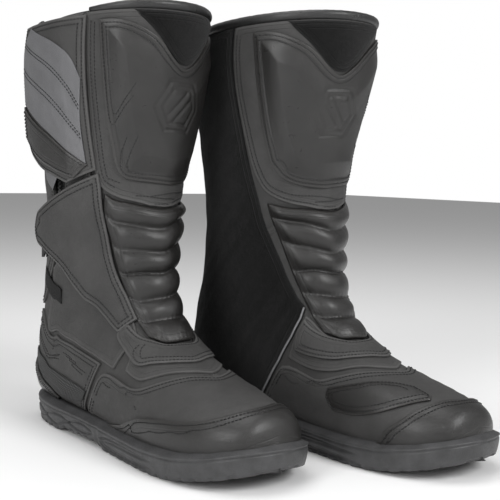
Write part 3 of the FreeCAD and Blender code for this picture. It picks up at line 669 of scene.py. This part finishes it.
window = Cut([[(7.7, 92), (7.7, 101)], [(8.0, 92), (8.0, 110)], [(8.5, 93.5), (8.5, 119)],
              [(8.95, 95.5), (8.95, 116)], [(9.4, 98.5), (9.4, 114)], [(9.9, 102), (9.9, 114)],
              [(10.4, 118), (10.4, 126)]], 1.1)
pair("heel_window", window.mesh(2.0), MESH, thick=0.8)

cuff_base = Cut([[(6.6, 60), (6.95, 33)], [(6.0, 57), (6.6, 26)], [(5.6, 46), (6.2, 17)],
                 [(4.85, 12), (6.08, 6)], [(4.72, -6), (6.08, -6)], [(5.4, -33), (6.3, -18)],
                 [(5.9, -50), (6.75, -28)], [(6.6, -62), (7.6, -34)], [(7.5, -68), (8.05, -38)]], 0.0)
pair("cuff_base", cuff_base.mesh(2.6), MATTE, nodes=["instep_cuff"], thick=HIDE, fold=EDGE)
cuff = Cut([[(7.0, 50), (7.7, 49), (7.75, 38)], [(6.3, 49), (6.8, 41), (7.0, 33)],
            [(5.9, 38), (6.3, 32), (6.6, 26)], [(5.5, 24), (5.85, 20), (6.2, 16)],
            [(5.2, 5), (5.6, 3), (6.05, 2)], [(5.4, -14), (5.75, -13), (6.1, -10)],
            [(5.65, -27), (6.0, -25), (6.35, -20)], [(6.1, -42), (6.5, -36), (6.85, -31)],
            [(6.8, -54), (7.2, -46), (7.5, -38)], [(7.4, -60), (7.75, -52), (7.95, -40)]],
           soft(1.6, 0.9, 6.0))
sew(cuff, 2, inset=2.2)
sew(cuff, 3, inset=2.2, rows=1)
pair("instep_cuff", cuff.mesh(1.8), MATTE, nodes=(), thick=1.8, fold=0.8)
print("cuff size", [round(x) for x in cuff.size()], "mm")

# %% [markdown]
# ## Accordion
# Six foam-filled ribs let the ankle flex. Leather is laid over foam strips and sewn down
# between them, so each rib is round on top and pinched at its valley, and small puckers
# run off the stitches.

# %% The six ribs
RIBS = 6


def ribbed(t, s, gaps, v, a):
    wave = np.abs(np.sin(np.pi * RIBS * t)) ** 0.62
    side = np.clip(np.minimum(gaps[:, 2], gaps[:, 3]) / 9.0, 0, 1) ** 0.6
    pucker = 0.35 * np.sin(s * 95 + 2.1 * np.sin(t * 40)) * np.exp(-(wave / 0.5) ** 2)
    sag = 0.25 * np.sin(s * 21 + t * 9) * wave
    return 0.2 + (4.7 * wave + pucker + sag) * side


accordion = Cut([[(12.1, 46), (11.7, 32), (11.25, 0), (11.6, -33), (12.15, -59)],
                 [(11.6, 47), (11.1, 32), (10.65, 0), (11.2, -33), (11.75, -56)],
                 [(10.75, 42), (10.35, 30), (9.9, 0), (10.45, -29), (11.0, -49)],
                 [(9.9, 37), (9.45, 26), (9.1, 0), (9.6, -25), (10.05, -41)],
                 [(8.7, 32.5), (8.2, 22), (8.05, 0), (8.4, -20), (8.95, -36)],
                 [(7.6, 30), (7.25, 20), (7.12, 0), (7.35, -20), (7.85, -33)],
                 [(6.8, 27), (6.3, 17), (6.2, 0), (6.4, -19), (6.95, -30)]], ribbed)
for k in range(1, RIBS):
    e = np.linspace(0.05, 0.95, 121)
    sew_across(accordion, np.full_like(e, k / RIBS), e, rise=0.3)
for piece in pair("accordion", accordion.mesh(1.25), SMOOTH, thick=HIDE):
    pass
print("accordion", [round(x) for x in accordion.size()], "mm")

# %% [markdown]
# ## Shin plate
# A moulded pad under glossy leather: flat at its sewn border, rising over a soft
# shoulder to a broad crown, with a plain geometric crest pressed into it by a hot die.

# %% Plate with a pressed crest
def groove(distance, width=1.1):
    return np.exp(-(distance / width) ** 2)


def plate_lift(t, s, gaps, v, a):
    near = np.min(gaps, axis=1)
    inner = near - 7.0
    rise = 2.2 + 4.6 * np.clip(inner / 13.0, 0, 1) ** 0.75 * (1 - 0.25 * np.clip(inner / 40.0, 0, 1))
    rise = rise + 0.9 * np.exp(-((near - 5.0) / 3.0) ** 2)
    x = (a + 9.0) * 0.98
    z = (v - 14.1) * 24.0
    # a hexagon inside a hexagon, cut by two slanting bars
    reach = np.maximum(np.abs(z) / 15.0, np.abs(x) / 19.0 + np.abs(z) / 33.0)
    ring = groove((reach - 1.0) * 17.0) + groove((reach - 0.72) * 17.0)
    slant = x * 0.75 + z * 0.66
    bars = (groove(slant - 3.0) + groove(slant + 3.0)) * (reach < 0.70)
    return rise - 0.75 * np.clip(ring + bars, 0, 1)


plate = Cut([[(13.3, 40), (12.5, 34), (12.15, 21), (11.97, -6), (12.15, -27), (12.55, -45), (13.1, -56)],
             [(14.0, 44.5), (13.4, 33), (13.1, 17), (13.0, -9), (13.1, -33), (13.4, -50), (13.9, -62)],
             [(15.2, 49), (14.7, 36), (14.2, 16), (14.0, -10), (14.2, -36), (14.6, -55), (15.1, -68)],
             [(16.6, 52), (16.5, 35), (16.0, 15), (15.08, -10), (16.0, -37), (16.5, -57),
              (16.6, -73)]], plate_lift)
for edge in range(4):
    sew(plate, edge, inset=2.2)
for piece in pair("shin_plate", plate.mesh(0.9), SMOOTH, thick=1.9, fold=0.6):
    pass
print("plate", [round(x) for x in plate.size()], "mm")

# %% [markdown]
# ## Collar
# A soft suede insert fills the dip above the plate. The rim is a rolled binding: a thin
# hide rolled round a foam cord, thin where it starts behind the flap.

# %% Insert, binding and lining
insert = Cut([[(16.7, 27), (16.08, 14), (15.35, 0), (15.17, -10), (15.35, -20), (16.08, -36), (16.7, -49)],
              [(16.78, 28), (16.4, 15), (16.05, 0), (15.95, -10), (16.05, -20), (16.4, -37), (16.78, -50)],
              [(16.86, 30), (16.86, 16), (16.86, 0), (16.86, -10), (16.86, -20), (16.86, -38), (16.86, -52)]],
             soft(0.6, 1.9, 8.0))
for piece in pair("collar_insert", insert.mesh(1.8), SUEDE, thick=1.0):
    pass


def sweep(spine, radii, up=(0, 0, 1), segments=14, flat=0.9):
    """A round cord: a circle extruded from frame to frame along a line."""
    bm = bmesh.new()
    bmesh.ops.create_circle(bm, cap_ends=True, radius=1.0, segments=segments)
    edges = list(bm.edges)
    last = None
    for k, r in enumerate(radii):
        along = Vector(spine[min(k + 1, len(spine) - 1)] - spine[max(k - 1, 0)]).normalized()
        out = along.cross(Vector(up)).normalized()
        lift = out.cross(along)
        turn = Matrix((out, lift, along)).transposed().to_4x4()
        frame_now = Matrix.Translation(spine[k]) @ turn @ Matrix.Diagonal((r * flat, r, 1, 1))
        if last is None:
            bmesh.ops.transform(bm, matrix=frame_now, verts=bm.verts)
        else:
            grown = bmesh.ops.extrude_edge_only(bm, edges=edges)["geom"]
            verts = [g for g in grown if isinstance(g, bmesh.types.BMVert)]
            edges = [g for g in grown if isinstance(g, bmesh.types.BMEdge) and g.verts[0] in verts
                     and g.verts[1] in verts]
            bmesh.ops.transform(bm, matrix=frame_now @ last.inverted(), verts=verts)
        last = frame_now
    bmesh.ops.edgeloop_fill(bm, edges=edges)
    bmesh.ops.recalc_face_normals(bm, faces=bm.faces)
    return bm


CORD = 3.7


def rim_cord(steps=150):
    turns = np.linspace(60.0, -252.0, steps)
    k = np.arange(steps)
    grow = np.minimum(1.0, 0.5 + 0.5 * np.minimum(k, steps - 1 - k) / 16.0)
    spine = wrap(np.full(steps, 17.0), turns, np.full(steps, -1.5))
    spine[:, 2] += CORD * grow - 2.9
    uneven = 1 + 0.018 * np.sin(k * 2.3) + 0.012 * np.sin(k * 5.1)
    return sweep(spine, CORD * grow * uneven, segments=18)


pair("collar_binding", rim_cord(), BINDING)
lining = Cut([[(v, a) for a in (0.2, *range(30, 331, 30), 359.8)]
              for v in (1.7, 2.4, 3.2, *range(4, 17), 16.95)],
             lambda t, s, gaps, v, a: -5.7 + 0.35 * np.cos(a * 0.35) * np.cos(v * 9))
pair("liner", lining.mesh(3.6), LINING, thick=2.2)
bed = Cut([[(2.0, 150), (2.0, 210)], [(4, 140), (4, 220)], [(7.6, 142), (7.6, 218)], [(8.5, 150), (8.5, 210)],
           [(8.9, 160), (8.9, 200)]], soft(-9.6, 0.9, 10.0))
pair("footbed", bed.mesh(4.0), LINING, thick=2.8)
print("rim height", round(float(on_form(17.0, 0.0)[2]) + 7, 1), "mm")

# %% [markdown]
# ## Gear pad
# Only the left boot lifts the gear lever, so only its vamp has a padded patch, sewn on
# all round.

# %% The pad on the left vamp
gear = Cut([[(5.8, -66), (5.1, -50), (4.6, -36), (4.1, -25), (3.6, -18)],
            [(5.75, -75), (5.0, -64), (4.3, -52), (3.7, -38), (3.0, -21)],
            [(5.45, -83), (4.75, -80), (4.05, -69), (3.45, -52), (2.8, -29)]], soft(1.3, 1.5, 6.0))
BOTH = THREADS["boot"]
THREADS["boot"] = bmesh.new()
for edge in range(4):
    sew(gear, edge, inset=2.2, rows=2 if edge < 2 else 1)
for piece in pair("gear_pad", gear.mesh(1.6), SMOOTH, thick=1.6, fold=0.7,
                  sides=("left",)):
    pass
pair("gear_pad_stitching", THREADS["boot"], THREAD_AND_PIT_SHADE, sides=("left",), smooth=False)
THREADS["boot"] = BOTH
print("gear pad", [round(x) for x in gear.size()], "mm")

# %% [markdown]
# ## Side zip
# Under the flap a coil zip runs up the outer side. Its tape is woven, its teeth are small
# moulded blocks, left and right in turn. Slider and pull keep their solids.

# %% Tape and teeth
tape = Cut([[(16.86, 78.5), (16.86, 101.5)], [(14, 78), (14, 102)], [(12, 78), (12, 102)],
            [(11.3, 80), (11.3, 100)]], -4.3)
pair("zip_tape", tape.mesh(4.0), TAPE, thick=0.9)
ZIP_FOOT, ZIP_HEAD = Vector((48.6, 76.0, 145.0)), Vector((61.6, 66.0, 318.0))
up = (ZIP_HEAD - ZIP_FOOT).normalized()
out = (Vector((1, 0, 0)) - up * up.x).normalized()
across = up.cross(out)
teeth = bmesh.new()
run = (ZIP_HEAD - ZIP_FOOT).length
turn = Matrix((across, up, out)).transposed().to_4x4()
TOOTH_PITCH, TOP_STOP = 1.5, 14.0
tooth_count = int((run - TOP_STOP) / TOOTH_PITCH)
for k in range(tooth_count):
    at = ZIP_FOOT + up * (0.8 + TOOTH_PITCH * k) + across * (-1.0 if k % 2 else 1.0) + out * -2.3
    tooth = Matrix.Translation(at) @ turn @ Matrix.Diagonal((3.0, 1.1, 1.7, 1))
    bmesh.ops.create_cube(teeth, size=1.0, matrix=tooth)
pair("zip_teeth", teeth, ZIPTEETH, smooth=False)
print("teeth", tooth_count)

# %% [markdown]
# ## Closing flap
# The flap is one hide from its front seam to its free edge. It turns on a line just
# behind the seam, so the leather in front of that line stays and the rest swings. It
# has an upper lobe with a reflective panel and a strap, and a lower rounded tab.

# %% Flap surfaces
HINGE_TOP, HINGE_LOW = wrap(np.array([16.7, 12.3]), np.array([67.0, 60.0]), np.array([3.9, 3.9]))


def hinge_angle(v):
    low = np.full(len(v), 30.0)
    high = np.full(len(v), 95.0)
    for _ in range(24):
        mid = (low + high) / 2
        p = wrap(v, mid, np.full(len(v), 3.9))
        u = (p[:, 2] - HINGE_LOW[2]) / (HINGE_TOP[2] - HINGE_LOW[2])
        front = p[:, 1] < HINGE_LOW[1] + (HINGE_TOP[1] - HINGE_LOW[1]) * u
        low, high = np.where(front, mid, low), np.where(front, high, mid)
    return low


def flap_height(v, a):
    near = hinge_angle(v)
    u = (a - near) / (119.0 - near)
    behind = 5.3 + 2.6 * np.clip(6 * u, 0, 1) + 2.2 * np.clip(u, 0, 1) ** 2
    ahead = 2.4 + 2.9 * np.clip(1 + (a - near) / 9.0, 0, 1) ** 2
    return np.where(u >= 0, behind, ahead)


def on_flap(extra=0.0, dents=0.25, puff=0.0):
    def lift(t, s, gaps, v, a):
        near = np.min(gaps, axis=1)
        wave = np.sin(v * 4.3 + a * 0.07) * np.sin(a * 0.11 - v * 1.7)
        swell = puff * (1 - (1 - np.clip(near / 7.0, 0, 1)) ** 2)
        return flap_height(v, a) + extra + swell + dents * wave * np.clip(near / 9.0, 0, 1)
    return lift


def fan(ends):
    """Rows from the front seam to the free edge."""
    rows = []
    for v, a, far_v, far_a in ends:
        rows.append([(v + (far_v - v) * k / 4, a + (far_a - a) * k / 4) for k in range(5)])
    return rows


flap_top = Cut(fan([(16.8, 60.5, 16.8, 112), (16.0, 60.5, 16.0, 119), (15.2, 59.8, 15.1, 121),
                    (14.6, 58.5, 14.2, 121), (13.7, 55.5, 13.6, 104), (13.1, 53, 13.1, 85),
                    (12.75, 51.5, 12.78, 73)]), on_flap())
flap_tab = Cut(fan([(12.66, 50, 12.74, 111), (12.3, 48.5, 12.56, 118.5), (12.0, 48, 12.22, 113),
                    (11.5, 46.5, 11.82, 98), (11.0, 44, 11.3, 85), (10.5, 41.5, 10.75, 73.5),
                    (10.0, 38.5, 10.2, 64), (9.4, 35.5, 9.5, 57), (8.7, 32, 8.7, 52),
                    (8.1, 30.2, 8.1, 49.5), (7.6, 29, 7.7, 47.5)]), on_flap())
panel = Cut([[(15.0, 62), (15.65, 69), (16.1, 80), (16.72, 103)],
             [(14.0, 61.5), (14.8, 75), (15.45, 92), (16.1, 115)],
             [(12.98, 58), (13.5, 72), (14.2, 92), (14.95, 118)]], on_flap(0.9))
strap = Cut([[(12.95, 56.5), (13.45, 71), (14.12, 91), (14.88, 119.5)],
             [(12.78, 66), (13.15, 81), (13.64, 99), (14.25, 120)]], on_flap(1.7, 0.1, 0.6))
for edge in (0, 2, 3):
    sew(flap_top, edge, body="flap", rise=0.25)
for edge in (0, 1, 2, 3):
    sew(flap_tab, edge, body="flap", rise=0.25, start=0.12 if edge == 0 else 0.0)
for edge in (0, 1):
    sew(strap, edge, inset=2.2, rows=1, body="flap", rise=0.25)
sew(strap, 3, inset=2.2, body="flap", rise=0.25)
for k in (1 / 3, 1 / 3 + 0.045, 2 / 3, 2 / 3 + 0.045):
    e = np.linspace(0.01, 0.99, 121)
    sew_across(panel, np.full_like(e, k), e, body="flap", rise=0.2)
print("flap upper", [round(x) for x in flap_top.size()], "tab", [round(x) for x in flap_tab.size()])

# %% Flap pieces, baked in place
FLAP_PARTS = []
for name, cut, stuff, thick, fold, nodes in (
        ("flap_top", flap_top, MATTE, 2.4, 0.9, ["flap"]),
        ("flap_tab", flap_tab, MATTE, 2.4, 0.9, []),
        ("flap_reflector", panel, REFLECT, 0.7, 0.2, ["flap_reflector"]),
        ("flap_strap", strap, SMOOTH, 1.4, 0.6, [])):
    FLAP_PARTS += pair(name, cut.mesh(2.2), stuff, nodes=nodes, thick=thick, fold=fold, ride=False)
FLAP_PARTS += pair("flap_stitching", THREADS["flap"], THREAD_AND_PIT_SHADE, smooth=False, ride=False)
axis = Vector(HINGE_TOP - HINGE_LOW).normalized()
seam, behind = wrap(np.array([14.5, 14.5]), np.array([60.0, 75.0]), np.array([3.9, 3.9]))
back = Vector(behind - seam)
back = (back - axis * back.dot(axis)).normalized()
for piece in FLAP_PARTS:
    side = piece.name.split("_")[0]
    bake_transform(piece)
print("blended pieces", len(FLAP_PARTS))

# %% [markdown]
# ## Hook and loop
# Loop pile is sewn to the boot and hooks sit inside the flap. A strip of pile shows just
# under the tab, and a small reflective corner shows in the notch between the lobes.

# %% Pads and the corner
for mark, loops, hooks, net in (
        ("upper", ["loop_pads"], ["hook_pads"], [[(14.3, 102.5), (14.3, 116)], [(16.3, 102.5), (16.3, 114)]]),
        ("lower", [], [], [[(11.9, 102.5), (11.9, 113)], [(12.6, 102.5), (12.6, 116)]])):
    pair("loop_pad_" + mark, Cut(net, 1.5).mesh(2.5), FUZZ, nodes=loops, thick=1.0)
    pair("hook_pad_" + mark, Cut(net, 5.1).mesh(2.5), HOOK, body="flap", nodes=hooks, thick=2.4)
strip = Cut([[(11.72, 113), (11.2, 98), (10.72, 85)], [(11.42, 112), (10.9, 97), (10.45, 84)]], 1.2)
pair("loop_strip", strip.mesh(2.0), FUZZ, thick=0.9)
corner = Cut([[(13.8, 113), (13.15, 90)], [(13.35, 109), (12.98, 97)]], 0.9)
pair("reflective_corner", corner.mesh(2.0), REFLECT, thick=0.6)
print("pads done")

# %% [markdown]
# ## Piping
# A thin grey cord shows where the suede side meets the vamp on the inner side.

# %% Cord in the inner seam
e = np.linspace(0, 1, 90)
line = np.interp(e, (0, 0.12, 0.3, 0.5, 1.0), (8.35, 8.1, 7.86, 7.72, 7.66))
turn_at = np.interp(e, (0, 0.12, 0.3, 0.5, 1.0), (-37, -43, -56, -74, -126))
inner_cord = sweep(wrap(line, turn_at, np.full(90, 0.5)), np.full(90, 0.85), up=(0.3, -1, 0.2), segments=8)
pair("inner_piping", inner_cord, PIPING)
pair("stitching", THREADS["boot"], THREAD_AND_PIT_SHADE, smooth=False)
print("piping done")

# %% [markdown]
# ## Sole
# The sole is one moulded rubber cup. A ring of sections runs round its plan: over the
# slab, up inside the rim, over a bead, down the carved wall, under the rounded edge and
# in to the middle of the tread. A grid is bent into that shape and its seams are welded.

# %% Sole lines
SOLE = np.array([(-148.0, 18.0, 18.0), (-139.5, 32.5, 32.0), (-121.0, 45.5, 45.0), (-95.0, 53.5, 52.0),
                 (-63.0, 56.5, 53.0), (-33.0, 55.0, 50.0), (0.0, 52.5, 46.5), (35.0, 51.0, 44.0),
                 (70.0, 51.0, 43.0), (100.0, 49.0, 42.5), (124.0, 43.0, 39.0), (141.0, 31.0, 29.5),
                 (150.0, 15.5, 15.5)])
GROUND = [(-154.0, 14.5), (-130.0, 8.0), (-105.0, 3.0), (-86.0, 0.6), (-72.0, 0.0), (2.0, 0.0),
          (14.0, 3.5), (68.0, 3.5), (78.0, 0.0), (128.0, 0.0), (140.0, 1.0), (154.0, 4.5)]
RIM = [(-154.0, 31.0), (-140.0, 28.0), (-122.0, 23.5), (-95.0, 19.5), (-60.0, 18.0), (0.0, 18.5),
       (40.0, 19.5), (90.0, 20.5), (128.0, 21.5), (154.0, 23.0)]
SLAB = [(-154.0, 26.0), (-140.0, 19.5), (-130.0, 13.5), (-112.0, 9.5), (-88.0, 7.5), (-58.0, 6.5),
        (-22.0, 6.5), (20.0, 8.5), (66.0, 10.5), (112.0, 12.5), (135.0, 13.6), (154.0, 14.5)]


def level(table, y):
    ys, zs = zip(*table)
    return np.interp(y, ys, zs)


def ring_of_sole(u):
    outer, inner = [(y, l) for y, l, m in SOLE], [(y, -m) for y, l, m in SOLE[::-1]]
    ring = [(-151.5, 0.0), *outer, (153.0, 0.0), *inner]
    ring = np.array(ring + ring[:1])
    long = np.vstack([ring[-3:-1], ring, ring[1:3]])
    fine = through(long, np.linspace(2, 2 + len(ring) - 1, 2801))
    run = np.concatenate([[0], np.cumsum(np.linalg.norm(np.diff(fine, axis=0), axis=1))])
    at = (u % 1.0) * run[-1]
    y, x = np.interp(at, run, fine[:, 0]), np.interp(at, run, fine[:, 1])
    ahead = (at + 1.0) % run[-1]
    y2, x2 = np.interp(ahead, run, fine[:, 0]), np.interp(ahead, run, fine[:, 1])
    along = np.stack([x2 - x, y2 - y], 1)
    along /= np.linalg.norm(along, axis=1, keepdims=True)
    return x, y, -along[:, 1], along[:, 0], run[-1]


def carving(y, h):
    """Depth of the moulded lines on the wall; h runs from the tread, 0, to the bead, 1."""
    ahead = (8.0 - y) / 85.0
    fade = np.clip(ahead * 30, 0, 1) * np.clip((1.0 - ahead) * 4, 0, 1)
    outer = 0.30 * (1 - np.exp(-np.clip(ahead, 0, 9) * 9)) * (1 - 0.35 * ahead)
    inner = 0.15 * (1 - np.exp(-np.clip(ahead - 0.07, 0, 9) * 9)) * (ahead > 0.07)
    off = np.abs(h - 0.42)
    lines = (np.exp(-((off - outer) / 0.045) ** 2)
             + 0.8 * np.exp(-((off - inner) / 0.04) ** 2) * (ahead > 0.07))
    cut = 1.7 * fade * lines
    heel = np.clip((y - 16.0) / 6.0, 0, 1)
    swing = 0.22 * np.sin((y - 16.0) * math.pi / 42.0)
    wave = np.exp(-((h - 0.46 - swing) / 0.05) ** 2) + np.exp(-((h - 0.46 + swing) / 0.05) ** 2)
    cut = cut + 1.5 * heel * wave
    pinch = 1.3 * np.exp(-((y - 11.0) / 2.6) ** 2) * np.clip(1.25 - h, 0, 1)
    lugs = 1.3 * (np.abs((y % 12.0) - 6.0) < 1.6) * np.clip((0.2 - h) * 12, 0, 1)
    bead = -0.45 * np.exp(-((h - 0.93) / 0.05) ** 2) + 0.7 * np.exp(-((h - 0.84) / 0.035) ** 2)
    return cut + pinch + lugs + bead


def tread(x, y):
    """Depth of the grooves under the sole."""
    front = (y < 0) & (y > -100) & (((y + 8.0) % 15.0) < 3.0)
    heel = (y > 80) & (y < 130) & (((y - 88.0) % 15.0) < 3.0)
    middle = (np.abs(x) < 1.6) & (y < 0)
    return 2.4 * (front | heel | middle)


print("sole run", round(float(ring_of_sole(np.array([0.0]))[4])), "mm")

# %% Bend the sole
WALL = list(np.linspace(0.97, 0.06, 30))
INSIDE = [("spine", 0.0), ("slab", 26.0), ("slab", 14.0), ("slab", 11.0), ("lip", 9.0), ("lip", 6.0),
          ("lip", 3.5), ("top", 1.6), ("top", 0.7)]
UNDER = [("round", 0.9), ("round", 2.2), *[("tread", d) for d in (4.0, 8.0, 13.0, 18.0, 24.0, 30.0, 36.0)],
         ("ground", 0.0)]
SECTIONS = INSIDE + [("wall", h) for h in WALL] + UNDER
sole = bmesh.new()
bmesh.ops.create_grid(sole, x_segments=420, y_segments=len(SECTIONS) - 1, size=1)
sole.verts.ensure_lookup_table()
flat = np.array([v.co[:2] for v in sole.verts])
x, y, nx, ny, length = ring_of_sole((flat[:, 0] + 1) / 2)
row = np.rint((flat[:, 1] + 1) / 2 * (len(SECTIONS) - 1)).astype(int)
edge = sole.verts.layers.float.new("edge")
for v, x0, y0, a, b, k in zip(sole.verts, x, y, nx, ny, row):
    kind, value = SECTIONS[k]
    low, rim, slab = float(level(GROUND, y0)), float(level(RIM, y0)), float(level(SLAB, y0))
    reach = min(value, abs(x0) * 0.92) if kind in ("slab", "tread") else 0.0
    if kind == "spine":
        v.co = (0, y0, slab)
    elif kind == "ground":
        v.co = (0, y0, low)
    elif kind == "slab":
        side_way = x0 - math.copysign(reach, x0) if reach > 4 else x0 + a * value
        v.co = (side_way, y0 + b * min(value, 3.8), slab)
    elif kind == "lip":
        v.co = (x0 + a * value, y0 + b * value, rim + 0.42 * (value - 1.6))
    elif kind == "top":
        v.co = (x0 + a * value, y0 + b * value, rim - (0.35 if value < 1 else 0.0))
    elif kind == "wall":
        d = float(carving(y0, value))
        belly = 2.4 * (1 - value) ** 2.4 + 0.5 * value ** 8
        v.co = (x0 + a * (d + belly), y0 + b * (d + belly), low + (rim - low) * value)
    elif kind == "round":
        d = 1.3 if abs((y0 % 12.0) - 6.0) < 1.6 else 0.0
        v.co = (x0 + a * (value + 1.9 + d), y0 + b * (value + 1.9 + d), low + (0.35 if value < 1 else 0.0))
    else:
        px = x0 - math.copysign(reach, x0)
        v.co = (px, y0 + b * min(value, 4.0), low + float(tread(np.array(px), np.array(y0))))
    v[edge] = 40.0
bmesh.ops.remove_doubles(sole, verts=sole.verts, dist=0.02)
bmesh.ops.recalc_face_normals(sole, faces=sole.faces)
pair("outsole", sole, RUBBER)
print("sole faces", len(bpy.data.meshes["left_outsole"].polygons))

# %% [markdown]
# ## Studio
# A pale floor, a large soft light from the front, one from the left, one from above, and a pale sky.

# %% Floor, lights and camera
floor_mesh = bpy.data.meshes.new("floor")
bm = bmesh.new()
bmesh.ops.create_grid(bm, x_segments=1, y_segments=1, size=6.0)
bm.to_mesh(floor_mesh)
bm.free()
floor = bpy.data.objects.new("floor", floor_mesh)
bpy.context.scene.collection.objects.link(floor)
paper, tree, shader = finish("paper")
shader.inputs["Base Color"].default_value = (0.93, 0.93, 0.93, 1)
shader.inputs["Roughness"].default_value = 0.9
floor_mesh.materials.append(paper)
floor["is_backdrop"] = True

sky = bpy.data.worlds.new("studio")
sky.use_nodes = True
sky.node_tree.nodes["Background"].inputs["Color"].default_value = (1, 1, 1, 1)
ray = sky.node_tree.nodes.new("ShaderNodeLightPath")
glow = sky.node_tree.nodes.new("ShaderNodeMapRange")
glow.inputs["To Min"].default_value = 0.30
glow.inputs["To Max"].default_value = 1.0
sky.node_tree.links.new(ray.outputs["Is Camera Ray"], glow.inputs["Value"])
sky.node_tree.links.new(glow.outputs["Result"], sky.node_tree.nodes["Background"].inputs["Strength"])
bpy.context.scene.world = sky
bpy.context.scene.view_settings.view_transform = "Standard"


def soft_light(name, place, aim, size, power):
    lamp = bpy.data.lights.new(name, "AREA")
    lamp.shape = "RECTANGLE"
    lamp.size, lamp.size_y = size
    lamp.energy = power
    shine = bpy.data.objects.new(name, lamp)
    shine.location = place
    shine.rotation_euler = (Vector(aim) - Vector(place)).to_track_quat("-Z", "Y").to_euler()
    bpy.context.scene.collection.objects.link(shine)


AIM = (0.0, 0.0, 0.15)
soft_light("key", (0.35, -1.7, 1.35), AIM, (0.9, 0.9), 26)
soft_light("left", (-1.7, -0.5, 0.9), AIM, (0.7, 1.2), 16)
soft_light("top", (-0.2, 0.2, 1.9), AIM, (1.2, 1.2), 14)

azimuth, pitch, away = math.radians(-39.77), math.radians(6.86), 0.8726
target = Vector((0.0211, 0.0379, 0.1122))
eye = target + away * Vector((math.sin(azimuth) * math.cos(pitch), -math.cos(azimuth) * math.cos(pitch),
                              math.sin(pitch)))
lens = bpy.data.cameras.new("camera")
lens.lens = 75.8
lens.sensor_width = 36.0
lens.shift_x, lens.shift_y = 0.022, 0.0876
camera = bpy.data.objects.new("camera", lens)
camera.location = eye
level_turn = (target - eye).to_track_quat("-Z", "Y").to_matrix().to_4x4()
camera.rotation_euler = (level_turn @ Matrix.Rotation(math.radians(1.4), 4, "Z")).to_euler()
bpy.context.scene.collection.objects.link(camera)
bpy.context.scene.camera = camera
print("camera", [round(c, 3) for c in eye])

# %% [markdown]
# ## Size and finish
# Both boxes, the measured one and the new one, are printed side by side.

# %% Record the size and close
bpy.context.view_layer.update()
new_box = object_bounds()
for label, box in (("cad", cad_box), ("visual", new_box)):
    print(label, [[round(x, 4) for x in c] for c in box])
